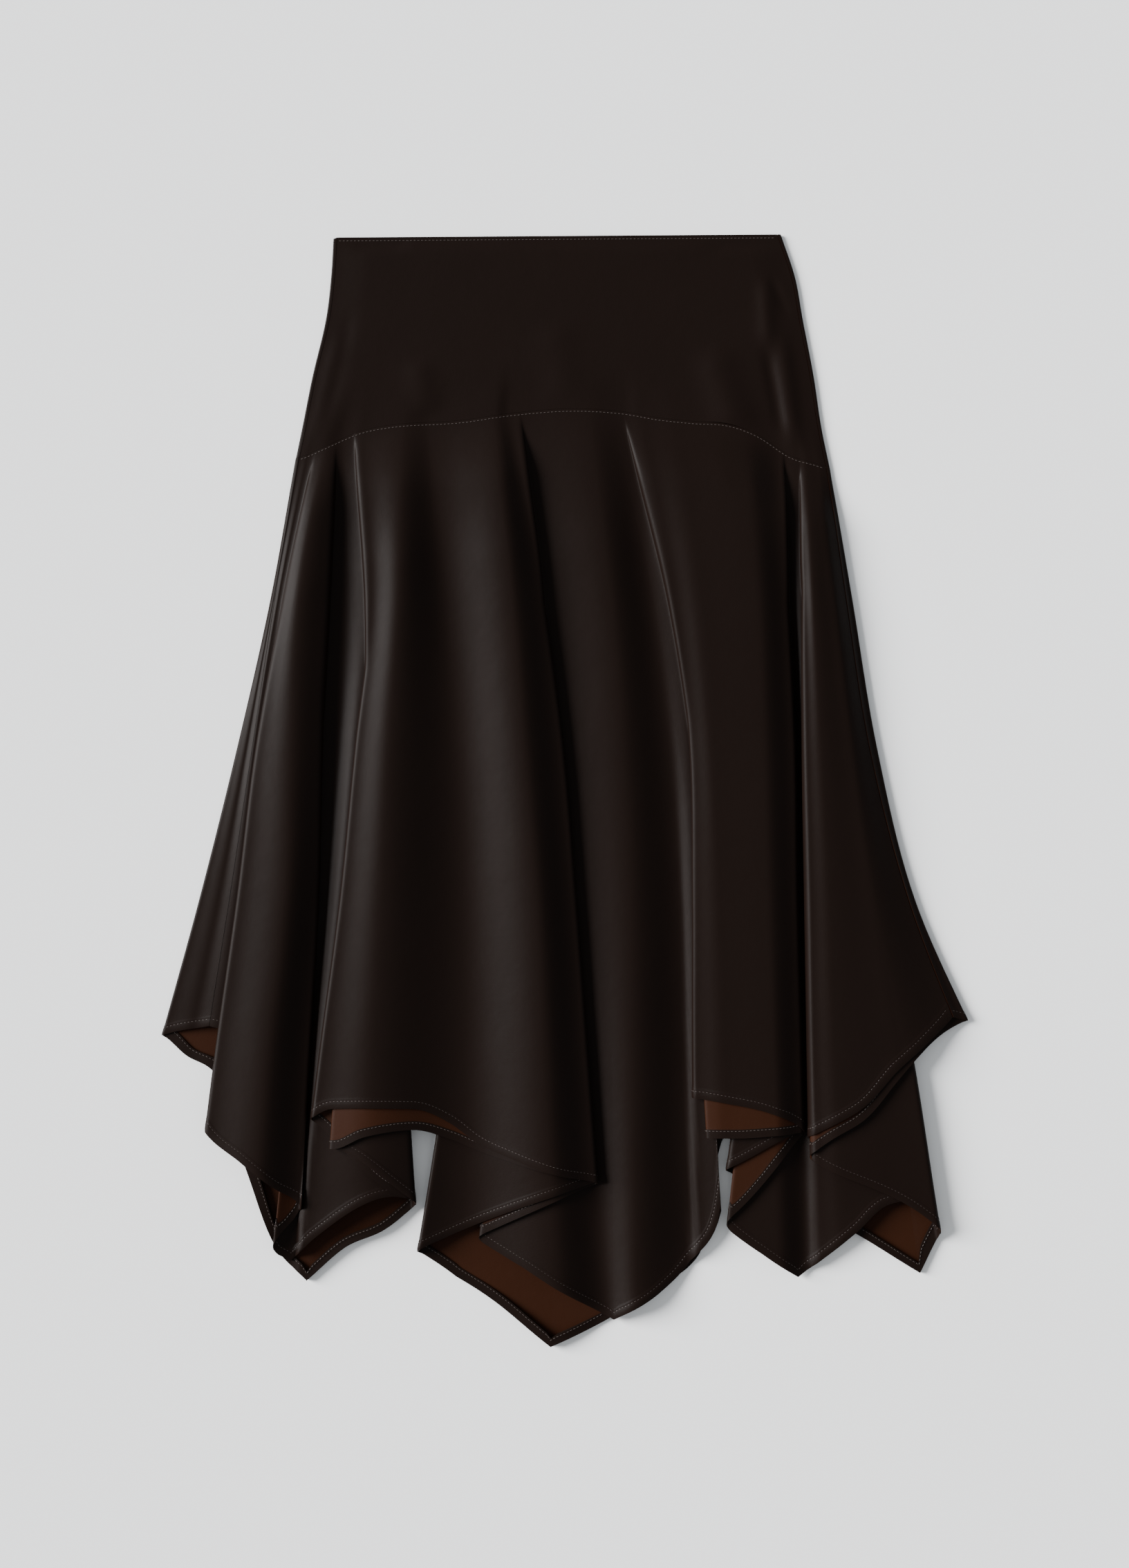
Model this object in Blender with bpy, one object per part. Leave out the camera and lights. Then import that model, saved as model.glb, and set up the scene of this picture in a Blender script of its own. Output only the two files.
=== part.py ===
"""Midi skirt laid flat, front up: a hip yoke and a flared lower skirt with a pointed hem.

Every piece is a wall of cloth that a maker would cut: a front and a back yoke, and a front and
a back lower panel. A panel is drawn as a family of cross sections. A section at one height y is
a smooth curve through the fold lines listed in the tables, so the cloth may run to the right,
turn over a fold, come back underneath and go on again. The front lies half a gap above the
middle of the tube and the back half a gap below it, wherever the tube turns over.

Tables are in millimetres in the skirt's own frame: x to the right as it lies, y up towards the
waist from the lowest hem corner, z up from the floor. Meshes are in metres.
"""
from collections import namedtuple

import bpy
import numpy as np

MM = 0.001
MIDDLE = (-0.66, 447.24, 0.0)   # middle of the skirt's box on the floor, which becomes the origin

# driving sizes, millimetres
WALL = 1.0            # thickness of the cloth wall
PAIR = 1.6            # distance between the front's and the back's cloth where they lie together
RISE = 4.4            # rise of the pair from one turn over to the next
SEAM_GAP = 0.3        # space left between two pieces at a seam
RIGHT_GAP = 1.4       # the same at the right side seam, where the cloth slopes
TURN = 5.0            # how far before a fold line its first guide point lies, at most
ROUNDING = 1.8        # width of the bell that rounds the turns
LEAST_FOLD = 0.6      # least distance between the two fold lines of a fold
PACE = 0.25           # pace at which a section's path is walked
SECTION_STEP = 6.0    # distance between two stored sections
SECTION_ABOVE = 60.0  # how far above the top station the stored sections begin
SIDE_ROLL = 0.2       # extra height of the cloth that has rolled over a side fold
LIFT_LENGTH = 55.0    # distance below the yoke seam over which the layers open up
YOKE_FADE = 60.0      # distance above the yoke seam over which the flutes die out
YOKE_TAPER = 0.0012   # share by which the yoke narrows for each millimetre above its seam
CORNER = 4.0          # rounding of the left waist corner

LINE, FOLD, SIDE = "line", "fold", "side fold"

# heights of the stations where a fold line's x is given
SKIRT_STATIONS = (706, 600, 480, 360, 240, 120)
YOKE_STATIONS = (893, 860, 827, 780, 740, 706)

# one fold line or cut line of a panel: what it is, how many turns up the cloth lies after it,
# its x at each station from the top one down, and the height of the hem on it
Line = namedtuple("Line", "name kind turns xa xb xc xd xe xf hem")

FRONT_LINES = (
    Line("left seam", LINE, 0, -216, -234, -252, -270, -289, -306, 258),
    Line("under fold 1", FOLD, 1, -206, -226, -239, -243, -248, -255, 248),
    Line("fold 1 left edge", FOLD, 1.5, -202, -226, -248, -263, -280, -295, 176),
    Line("fold 1 rise", LINE, 1.5, -197, -217, -235, -248, -256, -262, 151),
    Line("fold 1 crest", LINE, 1.5, -194, -202, -213, -222, -228, -233, 129),
    Line("fold 1 right edge", FOLD, 1, -188, -192, -195, -198, -205, -212, 114),
    Line("inlay 1 left edge", FOLD, 0, -183, -188, -198, -209, -219, -231, 84),
    Line("front corner 1", LINE, 0, -180, -185, -193, -202, -211, -218, 69),
    Line("inlay 1", LINE, 0, -179, -182, -185, -189, -195, -201, 87),
    Line("inlay 1 right", LINE, 0, -177, -173, -163, -152, -144, -138, 122),
    Line("inlay 1 right edge", FOLD, 1, -175, -165, -151, -140, -133, -127, 120),
    Line("fold 2 left edge", FOLD, 2, -160, -155, -168, -180, -196, -211, 183),
    Line("fold 2 rise", LINE, 2, -156, -149, -158, -169, -182, -194, 193),
    Line("fold 2 crest", LINE, 2, -144, -137, -141, -148, -156, -164, 194),
    Line("fold 2 shoulder", LINE, 2, -121, -119, -121, -121, -122, -123, 193),
    Line("valley", LINE, 2, -108, -102, -99, -96, -94, -92, 181),
    Line("fold 3 rise", LINE, 2, -91, -84, -79, -76, -73, -70, 165),
    Line("fold 3", LINE, 2, -71, -60, -53, -49, -46, -42, 153),
    Line("fold 3 crest", LINE, 2, -56, -38, -26, -17, -8, 0, 139),
    Line("fold 3 right edge", FOLD, 1, -36, -18, -2, 8, 17, 26, 133),
    Line("under fold 3", LINE, 1, -31, -18, -12, -14, -8, 0, 122),
    Line("under fold 3 rise", LINE, 1, -31, -18, -20, -27, -34, -44, 102),
    Line("centre left edge", FOLD, 0, -26, -18, -26, -37, -51, -66, 89),
    Line("centre 1", LINE, 0, -16, -10, -12, -17, -24, -31, 65),
    Line("centre 2", LINE, 0, -6, 2, 4, 2, -1, -6, 49),
    Line("centre fall", LINE, 0, -1, 6, 9, 9, 10, 11, 39),
    Line("centre valley", LINE, 0, 5, 10, 13, 16, 20, 25, 31),
    Line("front corner 2", LINE, 0, 18, 26, 31, 34, 37, 38, 22),
    Line("centre 3", LINE, 0, 30, 43, 53, 60, 66, 71, 43),
    Line("centre 4", LINE, 0, 40, 58, 72, 83, 92, 98, 69),
    Line("centre point", LINE, 0, 46, 69, 87, 100, 113, 124, 110),
    Line("centre rise", LINE, 0, 47, 72, 91, 106, 116, 125, 162),
    Line("centre right edge", FOLD, 1, 50, 79, 103, 118, 126, 132, 199),
    Line("fold 5 left edge", FOLD, 2, 65, 87, 100, 102, 102, 103, 201),
    Line("fold 5 rise", LINE, 2, 82, 101, 116, 124, 128, 130, 197),
    Line("fold 5 crest", LINE, 2, 125, 144, 153, 159, 165, 169, 188),
    Line("fold 5 fall", LINE, 2, 149, 163, 171, 176, 179, 183, 182),
    Line("fold 5 right edge", FOLD, 1, 171, 178, 184, 186, 189, 192, 175),
    Line("inlay 2 left edge", FOLD, 0, 180, 178, 168, 157, 144, 131, 102),
    Line("inlay 2", LINE, 0, 181.5, 181, 177, 171, 165, 160, 75),
    Line("front corner 3", LINE, 0, 182.5, 184, 187, 188, 187, 187, 56),
    Line("inlay 2 rise", LINE, 0, 183, 187, 202, 213, 223, 231, 92),
    Line("inlay 2 right", LINE, 0, 184, 189, 213, 229, 245, 257, 114),
    Line("inlay 2 right edge", FOLD, 1, 185, 192, 222, 248, 270, 285, 120),
    Line("fold 6 left edge", FOLD, 2, 193, 190, 190, 192, 194, 196, 168),
    Line("fold 6 rise", LINE, 2, 196, 198, 203, 207, 211, 214, 179),
    Line("fold 6", LINE, 2, 199, 207, 217, 226, 235, 244, 194),
    Line("fold 6 crest", LINE, 2, 202, 214, 228, 244, 263, 282, 223),
    Line("fold 6 fall", LINE, 1.6, 205, 218, 235, 257, 285, 313, 240),
    Line("right seam", LINE, 1, 210, 225, 244, 275, 321, 369, 265),
)

BACK_LINES = (
    Line("left seam", LINE, 0, -216, -234, -252, -270, -289, -306, 258),
    Line("left side", SIDE, 0, -219, -238, -265, -295, -328, -361, 250),
    Line("left hem", LINE, 0, -216, -233, -254, -277, -304, -332, 234),
    Line("left hem end", LINE, 0, -213, -226, -241, -258, -277, -297, 218),
    Line("back rise", LINE, 0, -206, -215, -226, -237, -247, -256, 137),
    Line("back dip", LINE, 0, -194, -202, -211, -219, -227, -232, 81),
    Line("back corner 1", LINE, 0, -186, -192, -197, -202, -205, -207, 53),
    Line("inlay 1", LINE, 0, -180, -179, -178, -177, -177, -177, 80),
    Line("inlay 1 right", LINE, 0, -177, -170, -163, -155, -149, -145, 95),
    Line("inlay 1 right edge", FOLD, 1, -175, -165, -151, -140, -133, -127, 114),
    Line("fold 2 left edge", FOLD, 2, -160, -155, -168, -180, -196, -211, 161),
    Line("fold 2 rise", LINE, 2, -156, -149, -158, -169, -182, -194, 161),
    Line("fold 2 crest", LINE, 2, -144, -137, -141, -148, -156, -164, 171),
    Line("fold 2 shoulder", LINE, 2, -121, -119, -121, -121, -122, -123, 176),
    Line("valley", LINE, 2, -108, -102, -99, -96, -94, -92, 168),
    Line("fold 3 rise", LINE, 2, -91, -84, -79, -76, -73, -70, 159),
    Line("fold 3", LINE, 2, -71, -60, -53, -49, -46, -42, 150),
    Line("fold 3 crest", LINE, 2, -56, -38, -26, -17, -8, 0, 139),
    Line("fold 3 right edge", FOLD, 1, -36, -18, -2, 8, 17, 26, 134),
    Line("under fold 3", LINE, 1, -31, -18, -12, -14, -8, 0, 123),
    Line("under fold 3 rise", LINE, 1, -31, -18, -20, -27, -34, -44, 104),
    Line("under valley 2", LINE, 1, -31, -18, -23, -33, -46, -61, 97),
    Line("under valley 2 low", LINE, 1, -31, -18, -27, -43, -66, -89, 86),
    Line("centre left edge", FOLD, 0, -26, -18, -30, -50, -79, -106, 79),
    Line("centre 1", LINE, 0, -21, -13, -22, -37, -56, -77, 56),
    Line("centre 2", LINE, 0, -13, -7, -12, -21, -33, -48, 37),
    Line("back corner 2", LINE, 0, -2, 5, 6, 4, 0, -6, 0),
    Line("centre 3", LINE, 0, 12, 19, 23, 27, 29, 30, 20),
    Line("centre 4", LINE, 0, 29, 41, 50, 58, 64, 69, 47),
    Line("centre 5", LINE, 0, 41, 59, 75, 87, 97, 105, 75),
    Line("centre right edge", FOLD, 1, 50, 79, 103, 118, 126, 132, 170),
    Line("fold 5 left edge", FOLD, 2, 65, 87, 100, 102, 102, 103, 169),
    Line("fold 5 rise", LINE, 2, 82, 101, 116, 124, 128, 130, 169),
    Line("fold 5 crest", LINE, 2, 125, 144, 153, 159, 165, 169, 171),
    Line("fold 5 fall", LINE, 2, 149, 163, 171, 176, 179, 183, 172),
    Line("fold 5 right edge", FOLD, 1, 171, 178, 184, 186, 189, 192, 173),
    Line("inlay 2 left edge", FOLD, 0, 180, 178, 168, 157, 144, 131, 144),
    Line("inlay 2", LINE, 0, 182, 183, 181, 180, 179, 179, 118),
    Line("inlay 2 rise", LINE, 0, 183, 187, 202, 213, 223, 231, 91),
    Line("back corner 3", LINE, 0, 184, 189, 214, 238, 258, 276, 59),
    Line("inlay 2 right edge", FOLD, 1, 185, 192, 222, 248, 270, 285, 90),
    Line("fold 6 left edge", FOLD, 2, 193, 190, 190, 192, 194, 196, 152),
    Line("fold 6 rise", LINE, 2, 196, 198, 203, 207, 211, 214, 168),
    Line("fold 6", LINE, 2, 199, 207, 217, 226, 235, 244, 184),
    Line("fold 6 crest", LINE, 2, 202, 214, 228, 244, 263, 282, 216),
    Line("fold 6 fall", LINE, 1.6, 205, 218, 235, 257, 285, 313, 237),
    Line("right side", SIDE, 0.5, 213, 231, 251, 281, 334, 387, 262),
    Line("right seam", LINE, 1, 210, 225, 244, 275, 321, 369, 265),
)

YOKE_LEFT_SEAM = Line("left seam", LINE, 0, -184, -186, -190, -201, -209, -216, 0)
YOKE_LEFT_SIDE = Line("left side", SIDE, 0, -187, -189, -193, -204, -212, -219, 0)
YOKE_RIGHT_SIDE = Line("right side", SIDE, 0, 174, 185, 191, 200, 206, 213, 0)
YOKE_RIGHT_SEAM = Line("right seam", LINE, 0, 171, 182, 188, 197, 203, 210, 0)
YOKE_SPREAD = 14      # plain lines evenly between the two sides of a yoke

# one ridge or valley of the flutes: its x at each station, and its height over the layer under
# it at the yoke seam, high on the skirt, half way down and near the hem
Ridge = namedtuple("Ridge", "name xa xb xc xd xe xf seam high middle low")

RIDGES = (
    Ridge("left edge", -219, -238, -265, -295, -328, -361, 0, 0, 0, 0),
    Ridge("left strip", -216, -235, -257, -278, -302, -325, 1, 2, 2.5, 3),
    Ridge("fold 1 left edge", -210, -231, -250, -263, -280, -295, 1.5, 4, 6, 7),
    Ridge("fold 1 crest", -202, -213, -224, -231, -240, -250, 3, 9, 12, 13),
    Ridge("valley 1", -182, -185, -189, -194, -202, -213, 0.5, 1, 1.5, 2),
    Ridge("fold 2 left edge", -162, -156, -168, -180, -195, -210, 3, 6, 7, 7),
    Ridge("fold 2 crest", -141, -135, -141, -146, -152, -160, 4.5, 11, 13, 14),
    Ridge("fold 2 shoulder", -123, -121, -121, -123, -123, -123, 3.5, 9, 11, 12),
    Ridge("valley 2", -108, -101, -98, -95, -92, -90, 0.8, 2, 2.5, 3),
    Ridge("fold 3 rise", -85, -71, -63, -55, -49, -43, 3.5, 8, 11, 12),
    Ridge("fold 3 crest", -59, -39, -26, -16, -7, 1, 4, 9, 12, 13),
    Ridge("fold 3 right edge", -37, -14, -2, 8, 17, 26, 0.8, 2.5, 3, 3),
    Ridge("centre rise", -10, 6, 15, 25, 29, 32, 3, 7, 8, 10),
    Ridge("centre crest", 25, 39, 52, 65, 72, 79, 3.5, 8, 9, 11),
    Ridge("centre fall", 50, 69, 85, 92, 97, 102, 0.5, 1, 1.5, 2),
    Ridge("fold 5 left edge", 68, 87, 100, 102, 103, 104, 2, 5, 6, 6),
    Ridge("fold 5 rise", 93, 107, 115, 121, 125, 128, 4, 9, 11, 12),
    Ridge("fold 5 crest", 132, 147, 155, 160, 165, 169, 4, 10, 12, 13),
    Ridge("fold 5 right edge", 175, 182, 185, 187, 189, 193, 0.5, 1.5, 2, 3),
    Ridge("fold 6 left edge", 186, 192, 194, 196, 199, 202, 2, 4, 5, 5),
    Ridge("fold 6 crest", 199, 211, 222, 235, 251, 266, 2.5, 7, 9, 9),
    Ridge("right edge", 213, 231, 251, 281, 334, 387, 0, 0, 0, 0),
)
RIDGE_DEPTHS = (0, 110, 350, 590)   # distances below the yoke seam where the heights are given

# soft creases in the front yoke: both ends, width across and height, negative for a trough
Crease = namedtuple("Crease", "name x1 y1 x2 y2 width height")

YOKE_CREASES = (
    Crease("left roll", -190, 815, -209, 728, 9, 2.2),
    Crease("left trough", -178, 818, -203, 726, 5, -0.6),
    Crease("right ridge", 166, 852, 194, 742, 9, 2.4),
    Crease("right inner ridge", 150, 800, 172, 738, 10, 1.8),
    Crease("middle ridge", -12, 820, 2, 758, 16, 1.4),
    Crease("left inner ridge", -118, 800, -108, 752, 14, 1.3),
    Crease("waist swell", -120, 868, 150, 872, 16, 1.2),
)

# the curved yoke seam, left to right
SEAM_X = (-219, -211, -165, -139, -82, -40, 3, 45, 74, 102, 130, 153, 182, 202, 213)
SEAM_Y = (714, 716, 736, 741, 745, 751, 754, 752, 747, 744, 742, 734, 716, 710, 706)
WAIST_LEFT, WAIST_RIGHT = 892.0, 894.5

# how far down a panel each row of the mesh lies, from 0 at its top edge to 1 at its hem
SKIRT_DEPTHS = (0.0, 18.0, 40.0, 70.0, 105.0, 140.0, 152.0, 165.0, 182.0, 210.0)
SKIRT_ROWS = (0.17, 0.35, 0.55, 0.75, 0.94)
YOKE_ROWS = (0.0, 0.04, 0.22, 0.45, 0.7, 1.0)
YOKE_STEP = 2.5       # least distance between two columns of a yoke's mesh at the seam

# how much of the flutes' height the cloth takes up at each height without them: none on the
# floor and most of it one layer up
SHARE_HEIGHTS = (WALL, PAIR, PAIR + 2 * RISE)
SHARES = (0.0, 0.85, 1.0)

FACE_BROWN = (0.021, 0.0144, 0.0123, 1.0)


def smooth(t):
    """Ease from 0 to 1 with level ends."""
    t = np.clip(t, 0.0, 1.0)
    return t * t * (3.0 - 2.0 * t)


def along(stations, values, y):
    """Smooth curve through values given at falling stations, read at y and straight beyond.

    A cubic between two stations whose slopes there are those of the chords over both sides.
    values is (lines, stations) and y is (lines, ...).
    """
    stations = np.asarray(stations, float)
    values = np.asarray(values, float)
    steps = np.diff(stations)
    chords = np.diff(values, axis=1) / steps
    slopes = np.concatenate([chords[:, :1], (chords[:, 1:] + chords[:, :-1]) / 2, chords[:, -1:]], axis=1)
    inside = np.clip(y, stations[-1], stations[0])
    index = np.clip(np.searchsorted(-stations, -inside, side="right") - 1, 0, len(steps) - 1)
    line = np.arange(len(values)).reshape((-1,) + (1,) * (np.ndim(y) - 1))
    step = steps[index]
    t = (inside - stations[index]) / step
    start, end = values[line, index], values[line, index + 1]
    rise, fall = slopes[line, index] * step, slopes[line, index + 1] * step
    curve = (start * (1 + 2 * t) * (1 - t) ** 2 + end * t * t * (3 - 2 * t)
             + rise * t * (1 - t) ** 2 - fall * t * t * (1 - t))
    beyond = y - inside
    return curve + beyond * np.where(beyond > 0, slopes[line, 0], slopes[line, -1])


def seam_height(x):
    """Height of the yoke seam at x, a smooth curve through its points."""
    x = np.asarray(x, float)
    flat = along(SEAM_X[::-1], np.array([SEAM_Y[::-1]]), x.reshape(1, -1))
    return flat.reshape(x.shape)


def flutes(x, y):
    """Height of the flutes at a place on the lower skirt.

    Between two neighbouring ridge or valley lines the height eases from one to the other, and
    each line's own height grows with the distance below the yoke seam.
    """
    places = along(SKIRT_STATIONS, [ridge[1:7] for ridge in RIDGES], np.broadcast_to(y, (len(RIDGES),) + y.shape))
    depth = seam_height(np.clip(x, SEAM_X[0], SEAM_X[-1])) - y
    heights = [np.interp(depth, RIDGE_DEPTHS, ridge[7:]) for ridge in RIDGES]
    result = np.zeros_like(x)
    for left in range(len(RIDGES) - 1):
        width = np.maximum(places[left + 1] - places[left], 0.1)
        t = (x - places[left]) / width
        between = heights[left] + (heights[left + 1] - heights[left]) * smooth(t)
        result = np.where((t >= 0) & (t < 1), between, result)
    return result


def yoke_relief(x, y):
    """Height of the yoke over a flat layer: the flutes dying out upwards, and its own creases.

    A crease is a bell across its line that fades towards both of its ends.
    """
    left = along(YOKE_STATIONS, [YOKE_LEFT_SIDE[3:9]], y[None])[0]
    right = along(YOKE_STATIONS, [YOKE_RIGHT_SIDE[3:9]], y[None])[0]
    share = np.clip((x - left) / (right - left), 0, 1)
    above = np.maximum(y - seam_height(np.clip(x, SEAM_X[0], SEAM_X[-1])), 0)
    foot = np.clip(x * (1 + YOKE_TAPER * above), SEAM_X[0], SEAM_X[-1])
    relief = flutes(foot, seam_height(foot)) * (1 - smooth(above / YOKE_FADE))
    rim = smooth(share * 12) * smooth((1 - share) * 12)
    for crease in YOKE_CREASES:
        run = np.array([crease.x2 - crease.x1, crease.y2 - crease.y1], float)
        length = np.hypot(*run)
        run /= length
        ahead = ((x - crease.x1) * run[0] + (y - crease.y1) * run[1]) / length
        across = (x - crease.x1) * run[1] - (y - crease.y1) * run[0]
        ends = smooth((ahead + 0.15) / 0.4) * smooth((1.15 - ahead) / 0.4)
        relief = relief + crease.height * ends * rim * np.exp(-(across / crease.width) ** 2)
    return np.maximum(relief, 0.0)


class Panel:
    """A panel of cloth as a family of cross sections, each a smooth curve over the fold lines.

    A fold line stands for four guide points: a little before the fold on the old level, the
    fold itself on the old and on the new level, and a little after it on the new. Any other
    line is one guide point. At each height the path through the guide points is walked at an
    even pace and blurred with a bell, which rounds every turn to more than half the pair's
    thickness, so neither cloth can cross the other or itself.
    """

    def __init__(self, lines, others, stations, face, relief, top, bottom=None):
        self.face, self.relief, self.bottom = face, relief, bottom
        guides = []
        beside = {line.name: line.hem for line in others}
        last = len(lines) - 1
        for number, line in enumerate(lines):
            before = line.turns if line.kind == SIDE else lines[max(number - 1, 0)].turns
            roll_in = SIDE_ROLL if line.kind == SIDE and number == 1 else 0.0
            roll_out = SIDE_ROLL if line.kind == SIDE and number > 1 else 0.0
            if line.kind == LINE:
                next_in = lines[1] if number == 0 else lines[last - 1]
                rolled = SIDE_ROLL if number in (0, last) and next_in.kind == SIDE else 0.0
                guides.append((number, number, line.turns, rolled, line.hem))
                continue
            guides.append((number, number - 1, before, roll_in, line.hem))
            guides.append((number, number, before, roll_in, line.hem))
            guides.append((number, number, line.turns, roll_out, line.hem))
            guides.append((number, number + 1, line.turns, roll_out, line.hem))
        own, near, turns, rolls, hems = (np.array(column) for column in zip(*guides))
        self.count = len(guides)
        folds = np.flatnonzero((own[1:] == own[:-1]) & (near[1:] == near[:-1]))
        self.u = self.columns(folds, turns)
        self.hem = np.interp(self.u, np.arange(self.count), hems)
        shared = [max(lines[k].hem, beside.get(lines[k].name, lines[k].hem)) for k in own]
        self.meet = np.interp(self.u, np.arange(self.count), shared)

        self.heights = np.arange(stations[0] + SECTION_ABOVE, -SECTION_STEP, -SECTION_STEP)
        table = np.array([line[3:9] for line in lines], float)
        table[0] += SEAM_GAP * (face > 0)
        table[-1] -= RIGHT_GAP * (face > 0)
        levels = np.broadcast_to(self.heights, (self.count, len(self.heights)))
        places = along(stations, table, levels[:len(table)])
        turned = [number for number, line in enumerate(lines) if line.kind == FOLD]
        for first, second in zip(turned, turned[1:]):
            if lines[first].turns == 1:
                middle = (places[first] + places[second]) / 2
                half = np.maximum(places[first] - places[second], LEAST_FOLD) / 2
                places[first], places[second] = middle + half, middle - half
                for row in range(first + 1, second):
                    places[row] = np.clip(places[row], places[second] + (second - row) * LEAST_FOLD / 8,
                                          places[first] - (row - first) * LEAST_FOLD / 8)
        x, toward = places[own], places[near]
        x = x + np.clip(0.45 * (toward - x), -TURN, TURN)
        start = seam_height(np.clip(table[own, -1 if bottom else 0], SEAM_X[0], SEAM_X[-1]))
        opened = smooth((start[:, None] - levels) / LIFT_LENGTH)
        z = PAIR / 2 + turns[:, None] * opened * RISE + rolls[:, None]
        self.sections = np.stack([self.blur(x[:, k], z[:, k]) for k in range(len(self.heights))])
        self.y = self.reach(top, bottom)

    def columns(self, folds, turns):
        """The u of the mesh's columns: every guide point and points between them at the turns."""
        round_folds = [folds + part for part in (-1.0, -0.2, 0.5, 1.2, 2.0)]
        plain = np.setdiff1d(np.arange(self.count), np.concatenate([folds, folds + 1]))
        under = folds[(turns[folds] != turns[folds + 1]) & (turns[folds + 1] == 1)] + 2
        under = under[under + 1 < self.count]
        return np.unique(np.concatenate([plain, *round_folds, under + 0.33, under + 0.67]))

    def blur(self, x, z):
        """One section: its x and z and the direction square to it, at each column.

        The path runs on straight past both ends, so the ends stay where they are.
        """
        steps = np.hypot(np.diff(x), np.diff(z))
        length = np.concatenate([[0.0], np.cumsum(np.maximum(steps, 1e-6))])
        pad = 5 * ROUNDING
        pace = np.arange(-pad, length[-1] + pad, PACE)
        bell = np.exp(-0.5 * (np.arange(-pad, pad + PACE / 2, PACE) / ROUNDING) ** 2)
        bell /= bell.sum()
        place = np.interp(self.u, np.arange(self.count), length)
        curves = []
        for value in (x, z):
            first = value[0] + (value[0] - value[1]) / max(steps[0], 1e-6) * pad
            final = value[-1] + (value[-1] - value[-2]) / max(steps[-1], 1e-6) * pad
            path = np.interp(pace, np.concatenate([[-pad], length, [length[-1] + pad]]),
                             np.concatenate([[first], value, [final]]))
            curve = np.convolve(np.pad(path, len(bell) // 2, mode="reflect", reflect_type="odd"), bell, "valid")
            curves.append((np.interp(place, pace, curve), np.interp(place, pace, np.gradient(curve))))
        (px, run), (pz, rise) = curves
        size = np.hypot(run, rise)
        return np.stack([px, pz, -rise / size, run / size])

    def section(self, y):
        """The stored sections read between heights, at one y or more for each column."""
        level = np.clip((self.heights[0] - y) / SECTION_STEP, 0, len(self.heights) - 1.001)
        low = level.astype(int)
        part = level - low
        column = np.arange(len(self.u)).reshape((-1,) + (1,) * (np.ndim(y) - 1))
        values = [self.sections[low, k, column] * (1 - part) + self.sections[low + 1, k, column] * part
                  for k in range(4)]
        size = np.hypot(values[2], values[3])
        return values[0], values[1], values[2] / size, values[3] / size

    def reach(self, top, bottom):
        """Heights of each column's two ends, found by trying the edge's curve a few times."""
        upper = np.full(len(self.u), self.heights[0])
        lower = self.hem
        for _ in range(6):
            upper = top(self.section(upper)[0])
        if bottom:
            lower = np.full(len(self.u), self.heights[-1])
            for _ in range(6):
                lower = bottom(self.section(lower)[0])
        return upper, lower

    def surface(self, rows, offset):
        """A face of the wall: the sections moved out by an offset and lifted by the relief.

        The lift at one place grows with the height below it, so what lies apart stays apart.
        """
        upper, lower = self.y
        if self.bottom:
            y = upper[:, None] + (lower - upper)[:, None] * np.asarray(rows)
        else:
            fixed = upper[:, None] - np.asarray(SKIRT_DEPTHS)
            rest = fixed[:, -1:] + (self.meet - fixed[:, -1])[:, None] * np.asarray(rows)
            y = np.concatenate([fixed, rest, lower[:, None]], axis=1)
        x, z, out_x, out_z = self.section(y)
        away = self.face * PAIR / 2 + offset
        x = x + out_x * away
        z = z + out_z * away + WALL / 2
        return np.stack([x, y, z + self.relief(x, y) * np.interp(z, SHARE_HEIGHTS, SHARES)], axis=-1)


def wall_object(name, panel, rows, colour):
    """Closed wall of cloth: a panel's two faces and a rim round them."""
    upper, lower = [(panel.surface(rows, offset) - MIDDLE) * MM for offset in (WALL / 2, -WALL / 2)]
    columns, rows = upper.shape[:2]
    size = columns * rows
    number = np.arange(size).reshape(columns, rows)
    first = np.stack([number[:-1, :-1], number[:-1, 1:], number[1:, 1:]], axis=-1)
    second = np.stack([number[:-1, :-1], number[1:, 1:], number[1:, :-1]], axis=-1)
    halves = np.concatenate([first, second]).reshape(-1, 3)
    rim = np.concatenate([number[:, 0], number[-1, 1:], number[-2::-1, -1], number[0, -2::-1]])
    edge = np.stack([rim[:-1], rim[1:], rim[1:] + size, rim[:-1] + size], axis=-1)
    faces = halves.tolist() + (halves[:, ::-1] + size).tolist() + edge.tolist()
    mesh = bpy.data.meshes.new(name)
    mesh.from_pydata(np.concatenate([upper.reshape(-1, 3), lower.reshape(-1, 3)]).tolist(), [], faces)
    mesh.update()
    mesh.shade_smooth()
    mesh.materials.append(satin(name, colour))
    thing = bpy.data.objects.new(name, mesh)
    bpy.context.collection.objects.link(thing)
    return thing


def satin(name, colour):
    """Plain dark satin for a piece."""
    material = bpy.data.materials.new(name + "_satin")
    material.use_nodes = True
    shader = material.node_tree.nodes["Principled BSDF"]
    shader.inputs["Base Color"].default_value = colour
    shader.inputs["Roughness"].default_value = 0.42
    shader.inputs["Metallic"].default_value = 0.0
    return material


def waist_height(x):
    """Height of the waist edge, which rises a little to the right and is rounded at the left."""
    left, right = YOKE_LEFT_SIDE.xa, YOKE_RIGHT_SIDE.xa
    edge = WAIST_LEFT + (WAIST_RIGHT - WAIST_LEFT) * (x - left) / (right - left)
    near = np.clip((left + CORNER - x) / CORNER, 0, 1)
    return edge - CORNER * (1 - np.sqrt(1 - near ** 2 * 0.9))


def spread(left, right, places):
    """Plain lines between two side lines, ending at the given places on the seam."""
    ends = np.array([left[3:9], right[3:9]], float)
    lines = []
    for place in places:
        start, stop = along(YOKE_STATIONS, ends, np.full((2, 1), seam_height(place)))[:, 0]
        share = (place - start) / (stop - start)
        lines.append(Line("between", LINE, 0, *(ends[0] + share * (ends[1] - ends[0])), 0))
    return lines


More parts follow.
